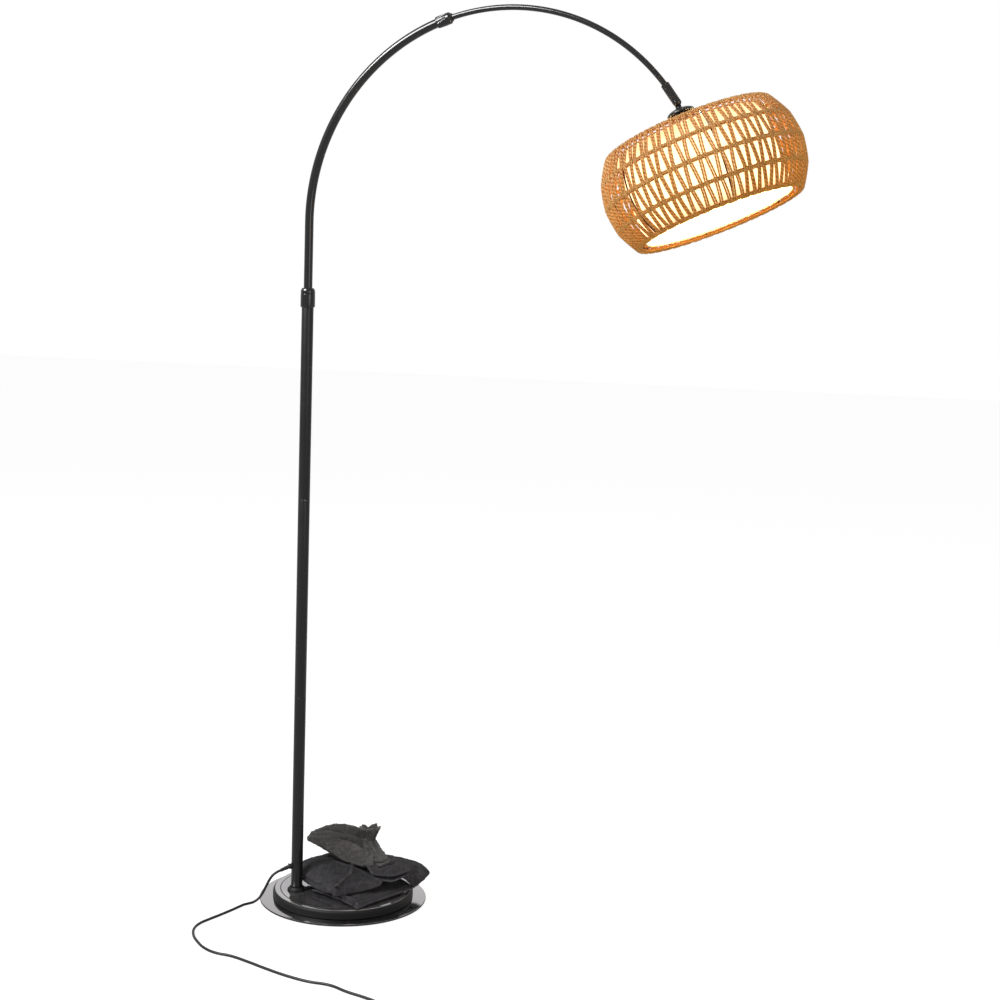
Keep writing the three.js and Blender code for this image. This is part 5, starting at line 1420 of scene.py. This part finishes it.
def denseRows(rows):
    # The coarse rows made into a fine, even net, with a point about every step both ways.
    span = 1000 * pile["step"]
    wide = round(max(lineLength(row) for row in rows) / span) + 1
    tall = round(max(lineLength(line) for line in zip(*rows)) / span) + 1
    across = [evened(curved([Vector(p) for p in row], 12), wide) for row in rows]
    down = [evened(curved(list(line), 12), tall) for line in zip(*across)]
    return list(zip(*down))


def cornerRows(bag):
    # Rows of points between four corners, with the sides drawn in a little at their middles.
    near, right, far, left = (Vector(c) for c in bag["corners"])
    rows = []
    for w, line in zip(bag["across"], bag["heights"]):
        row = []
        for u, (z, thick) in zip(bag["along"], line):
            uu = u + (0.5 - u) * bag["pull"] * math.sin(math.pi * w)
            ww = w + (0.5 - w) * bag["pull"] * math.sin(math.pi * u)
            spot = (near * (1 - uu) + right * uu) * (1 - ww) + (left * (1 - uu) + far * uu) * ww
            row.append((*spot, z, thick))
        rows.append(row)
    return rows


def pouch(rows):
    # Two skins, each half the thickness away from the net, joined round the edge.
    net = denseRows(rows)
    tall, wide = len(net), len(net[0])
    bm = bmesh.new()
    bmesh.ops.create_grid(bm, x_segments=wide - 1, y_segments=tall - 1, size=1)
    thick = {}
    for v in bm.verts:
        spot = net[round((v.co.y + 1) / 2 * (tall - 1))][round((v.co.x + 1) / 2 * (wide - 1))]
        v.co = spot[:3]
        thick[v] = spot[3]
    bm.normal_update()
    under = list(bm.verts)
    upright = 1 if sum(v.normal.z for v in under) > 0 else -1
    normals = [v.normal * upright for v in under]
    grown = bmesh.ops.extrude_face_region(bm, geom=list(bm.faces))["geom"]
    over = {v.co.to_tuple(4): v for v in grown if isinstance(v, bmesh.types.BMVert)}
    for v, normal in zip(under, normals):
        twin = over[v.co.to_tuple(4)]
        half = normal * thick[v] / 2
        twin.co = v.co + half
        v.co = v.co - half
    bmesh.ops.recalc_face_normals(bm, faces=bm.faces)
    return bm


def gatheredNeck():
    # The drawn-in neck of the top bag, with its mouth standing open in pointed folds.
    bm = bmesh.new()
    bmesh.ops.create_circle(bm, segments=60, radius=1)
    rings, edges = [list(bm.verts)], list(bm.edges)
    for _ in neckRings[1:]:
        ring, edges = extruded(bm, rings[-1], edges)
        rings.append(ring)
    for verts, (x, y, z, radius, deep, rough) in zip(rings, neckRings):
        for k, v in enumerate(verts):
            turn = math.atan2(v.co.y, v.co.x) if verts is rings[0] else math.tau * k / len(verts)
            fold = math.cos(5 * turn + 0.8 * math.sin(2 * turn + 0.5) + 0.6) + 0.35 * math.cos(11 * turn + 1)
            r = radius * (1 + deep * fold)
            v.co = (x + r * math.cos(turn), y + r * math.sin(turn) * 0.85, z + rough * fold)
    for verts in (rings[0], rings[-1]):
        bm.faces.new(verts)
    bmesh.ops.recalc_face_normals(bm, faces=bm.faces)
    return bm


def merged(parts):
    # Several bmeshes in one.
    bm = bmesh.new()
    for part in parts:
        mesh = meshOf("part", part)
        bm.from_mesh(mesh)
        bpy.data.meshes.remove(mesh)
    return bm


def clothPiece(name, bm, nodes, material="cloth"):
    return addPiece(name, bm, material, "base", nodes, pileAxes, 0)


def applyAll(piece):
    graph = bpy.context.evaluated_depsgraph_get()
    mesh = bpy.data.meshes.new_from_object(piece.evaluated_get(graph))
    old = piece.data
    piece.modifiers.clear()
    piece.data = mesh
    bpy.data.meshes.remove(old)
    mesh.name = piece.name


def fuse(piece):
    # Overlapping closed parts become one skin.
    tool = piece.modifiers.new("fuse", "REMESH")
    tool.mode = "VOXEL"
    tool.voxel_size = pile["voxel"]
    soft = piece.modifiers.new("soft", "SMOOTH")
    soft.factor = pile["soften"]
    soft.iterations = 2
    applyAll(piece)


def crumple(pieces, caps):
    # A little more cloth than the shape needs, blown up slightly, wrinkles by itself.
    starts = []
    for piece in pieces:
        starts.append([v.co.copy() for v in piece.data.vertices])
        sim = piece.modifiers.new("cloth", "CLOTH")
        for name, value in cloth.items():
            setattr(sim.settings, name, value)
        sim.settings.effector_weights.gravity = 0
        sim.point_cache.frame_start = 1
        sim.point_cache.frame_end = pile["frames"]
    for step in range(1, pile["frames"] + 1):
        scene.frame_set(step)
    for piece, start, cap in zip(pieces, starts, caps):
        applyAll(piece)
        for v, old in zip(piece.data.vertices, start):
            moved = v.co - old
            if moved.length > 1e-7:
                v.co = old + moved.normalized() * cap * math.tanh(moved.length / cap)
    scene.frame_set(1)


def finer(piece):
    tool = piece.modifiers.new("finer", "SUBSURF")
    tool.levels = tool.render_levels = 1
    applyAll(piece)
    piece.data.shade_smooth()


def press(piece):
    # Ridges and hollows along lines on a pouch's upper skin; distances are in millimetres.
    back = pileAxes.inverted()
    lines = [(curved([Vector(p) for p in line], 3), width, depth) for line, width,
             depth in pressed[piece.name]]
    tops = [v for v in piece.data.vertices if v.normal.z > ridges["facing"]]
    for v in tops:
        here = (back @ v.co).xy
        for line, width, depth in lines:
            near = 1e9
            for a, b in zip(line, line[1:]):
                run = b - a
                t = min(1, max(0, (here - a).dot(run) / run.length_squared))
                near = min(near, (a + run * t - here).length)
            if near < width * ridges["reach"]:
                v.co.z += 0.001 * depth * math.exp(-((near / width) ** ridges["fall"]))
    piece.data.update()


def wrinkle(piece, depth, scale, seed, stretch=(1, 1, 1)):
    # Fine creases: ridged noise moves each point along its normal.
    normals = [v.normal.copy() for v in piece.data.vertices]
    for v, normal in zip(piece.data.vertices, normals):
        place = Vector(a * b for a, b in zip(v.co, stretch)) * scale + Vector((seed, seed * 2, seed * 3))
        ridge = 1 - 2 * abs(noise.noise(place))
        fine = 1 - 2 * abs(noise.noise(place * ridges["fineScale"]))
        v.co += normal * depth * (ridge ** 3 + ridges["fineDepth"] * fine ** 3 - ridges["level"])
    piece.data.update()


def treeOf(piece):
    mesh = piece.data
    return BVHTree.FromPolygons([v.co.copy() for v in mesh.vertices],
                                [list(p.vertices) for p in mesh.polygons])


def settle(piece, below):
    # No point lies inside what is underneath: it comes to rest on top.
    for v in piece.data.vertices:
        floor = 0
        for tree in below:
            hit = tree.ray_cast(Vector((v.co.x, v.co.y, pile["above"])), -up)[0]
            if hit:
                floor = max(floor, hit.z)
        if v.co.z < floor + pile["rest"]:
            v.co.z = floor + pile["rest"]
    piece.data.update()


def wear(piece, middle=0.45, strength=3, soften=3):
    # The cloth's finish is lighter on ridges, as wear and painted highlight, and darker in hollows, as
    # painted shade: a value at each point says which.
    points = piece.data.vertices
    normals = [v.normal.copy() for v in points]
    ends = [tuple(e.vertices) for e in piece.data.edges]
    level = [0.0] * len(points)
    count = [0] * len(points)
    for a, b in ends:
        across = (points[b].co - points[a].co).normalized()
        level[a] -= across.dot(normals[a])
        level[b] += across.dot(normals[b])
        count[a] += 1
        count[b] += 1
    level = [value / max(n, 1) for value, n in zip(level, count)]
    for _ in range(soften):
        total = list(level)
        for a, b in ends:
            total[a] += level[b]
            total[b] += level[a]
        level = [value / (n + 1) for value, n in zip(total, count)]
    marks = piece.data.attributes.new("wear", "FLOAT", "POINT")
    marks.data.foreach_set("value", [middle + strength * value for value in level])


def addEyelet(pouch):
    # A small black eyelet in the middle pouch's front corner, lying on the cloth; its middle is closed and
    # black, as painted shade for the hole.
    start, end = (pileAxes @ Vector(eyelet[side]) for side in ("from", "to"))
    spot, normal = treeOf(pouch).ray_cast(start, (end - start).normalized())[:2]
    place = Matrix.Translation(spot) @ up.rotation_difference(normal).to_matrix().to_4x4()
    bm = spun(rounded(eyelet["outline"], eyelet["edge"]), 40)
    addPiece("pouchEyelet", bm, "mouldedBlack", "base", (), place)


def addBags():
    lower = clothPiece("lowerPouch", pouch(cornerRows(lowerBag)), ["lower_ballast_bag"])
    middle = clothPiece("middlePouch", pouch(cornerRows(middleBag)), ["upper_ballast_bag"])
    side = clothPiece("sideFold", pouch(sideFold["rows"]), ["bag_side_fold"])
    roll = clothPiece("rolledFold", pouch(rolledFold["rows"]), [])
    flap = merged([pouch(flapFold["rows"]), gatheredNeck()])
    top = clothPiece("topFlap", flap, ["bag_flap", "bag_neck"], "waxed")
    fuse(top)
    pieces, bags = [lower, side, middle, roll, top], [lowerBag, sideFold, middleBag, rolledFold, flapFold]
    crumple(pieces, [bag["cap"] for bag in bags])
    print("bags formed")
    below = [treeOf(bpy.data.objects[name]) for name in ("glossDisc", "mouldedRim", "footFlange")]
    for piece, bag in zip(pieces, bags):
        finer(piece)
        press(piece)
        wrinkle(piece, *bag["wrinkle"])
        settle(piece, below)
        wear(piece)
        below.append(treeOf(piece))
    addEyelet(middle)
    print("bags made", [len(piece.data.polygons) for piece in pieces])


addBags()

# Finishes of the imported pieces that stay, most of them hidden inside the lamp
dressed = {
    "castIron": ["base_weight"],
    "zinc": ["plate_screw_1", "plate_screw_2", "plate_screw_3", "pole_foot_stud", "stud_washer", "stud_nut",
             "pole_ferrule_1", "pole_ferrule_2"],
    "nylon": ["lower_collet", "upper_collet", "arch_slider", "rod_end_bush"],
    "brass": ["screw_shell", "centre_contact"],
    "porcelain": ["holder_core"],
}
for material, names in dressed.items():
    for name in names:
        paint(frame["nodes"][name].data, material)
print("packed pieces dressed")
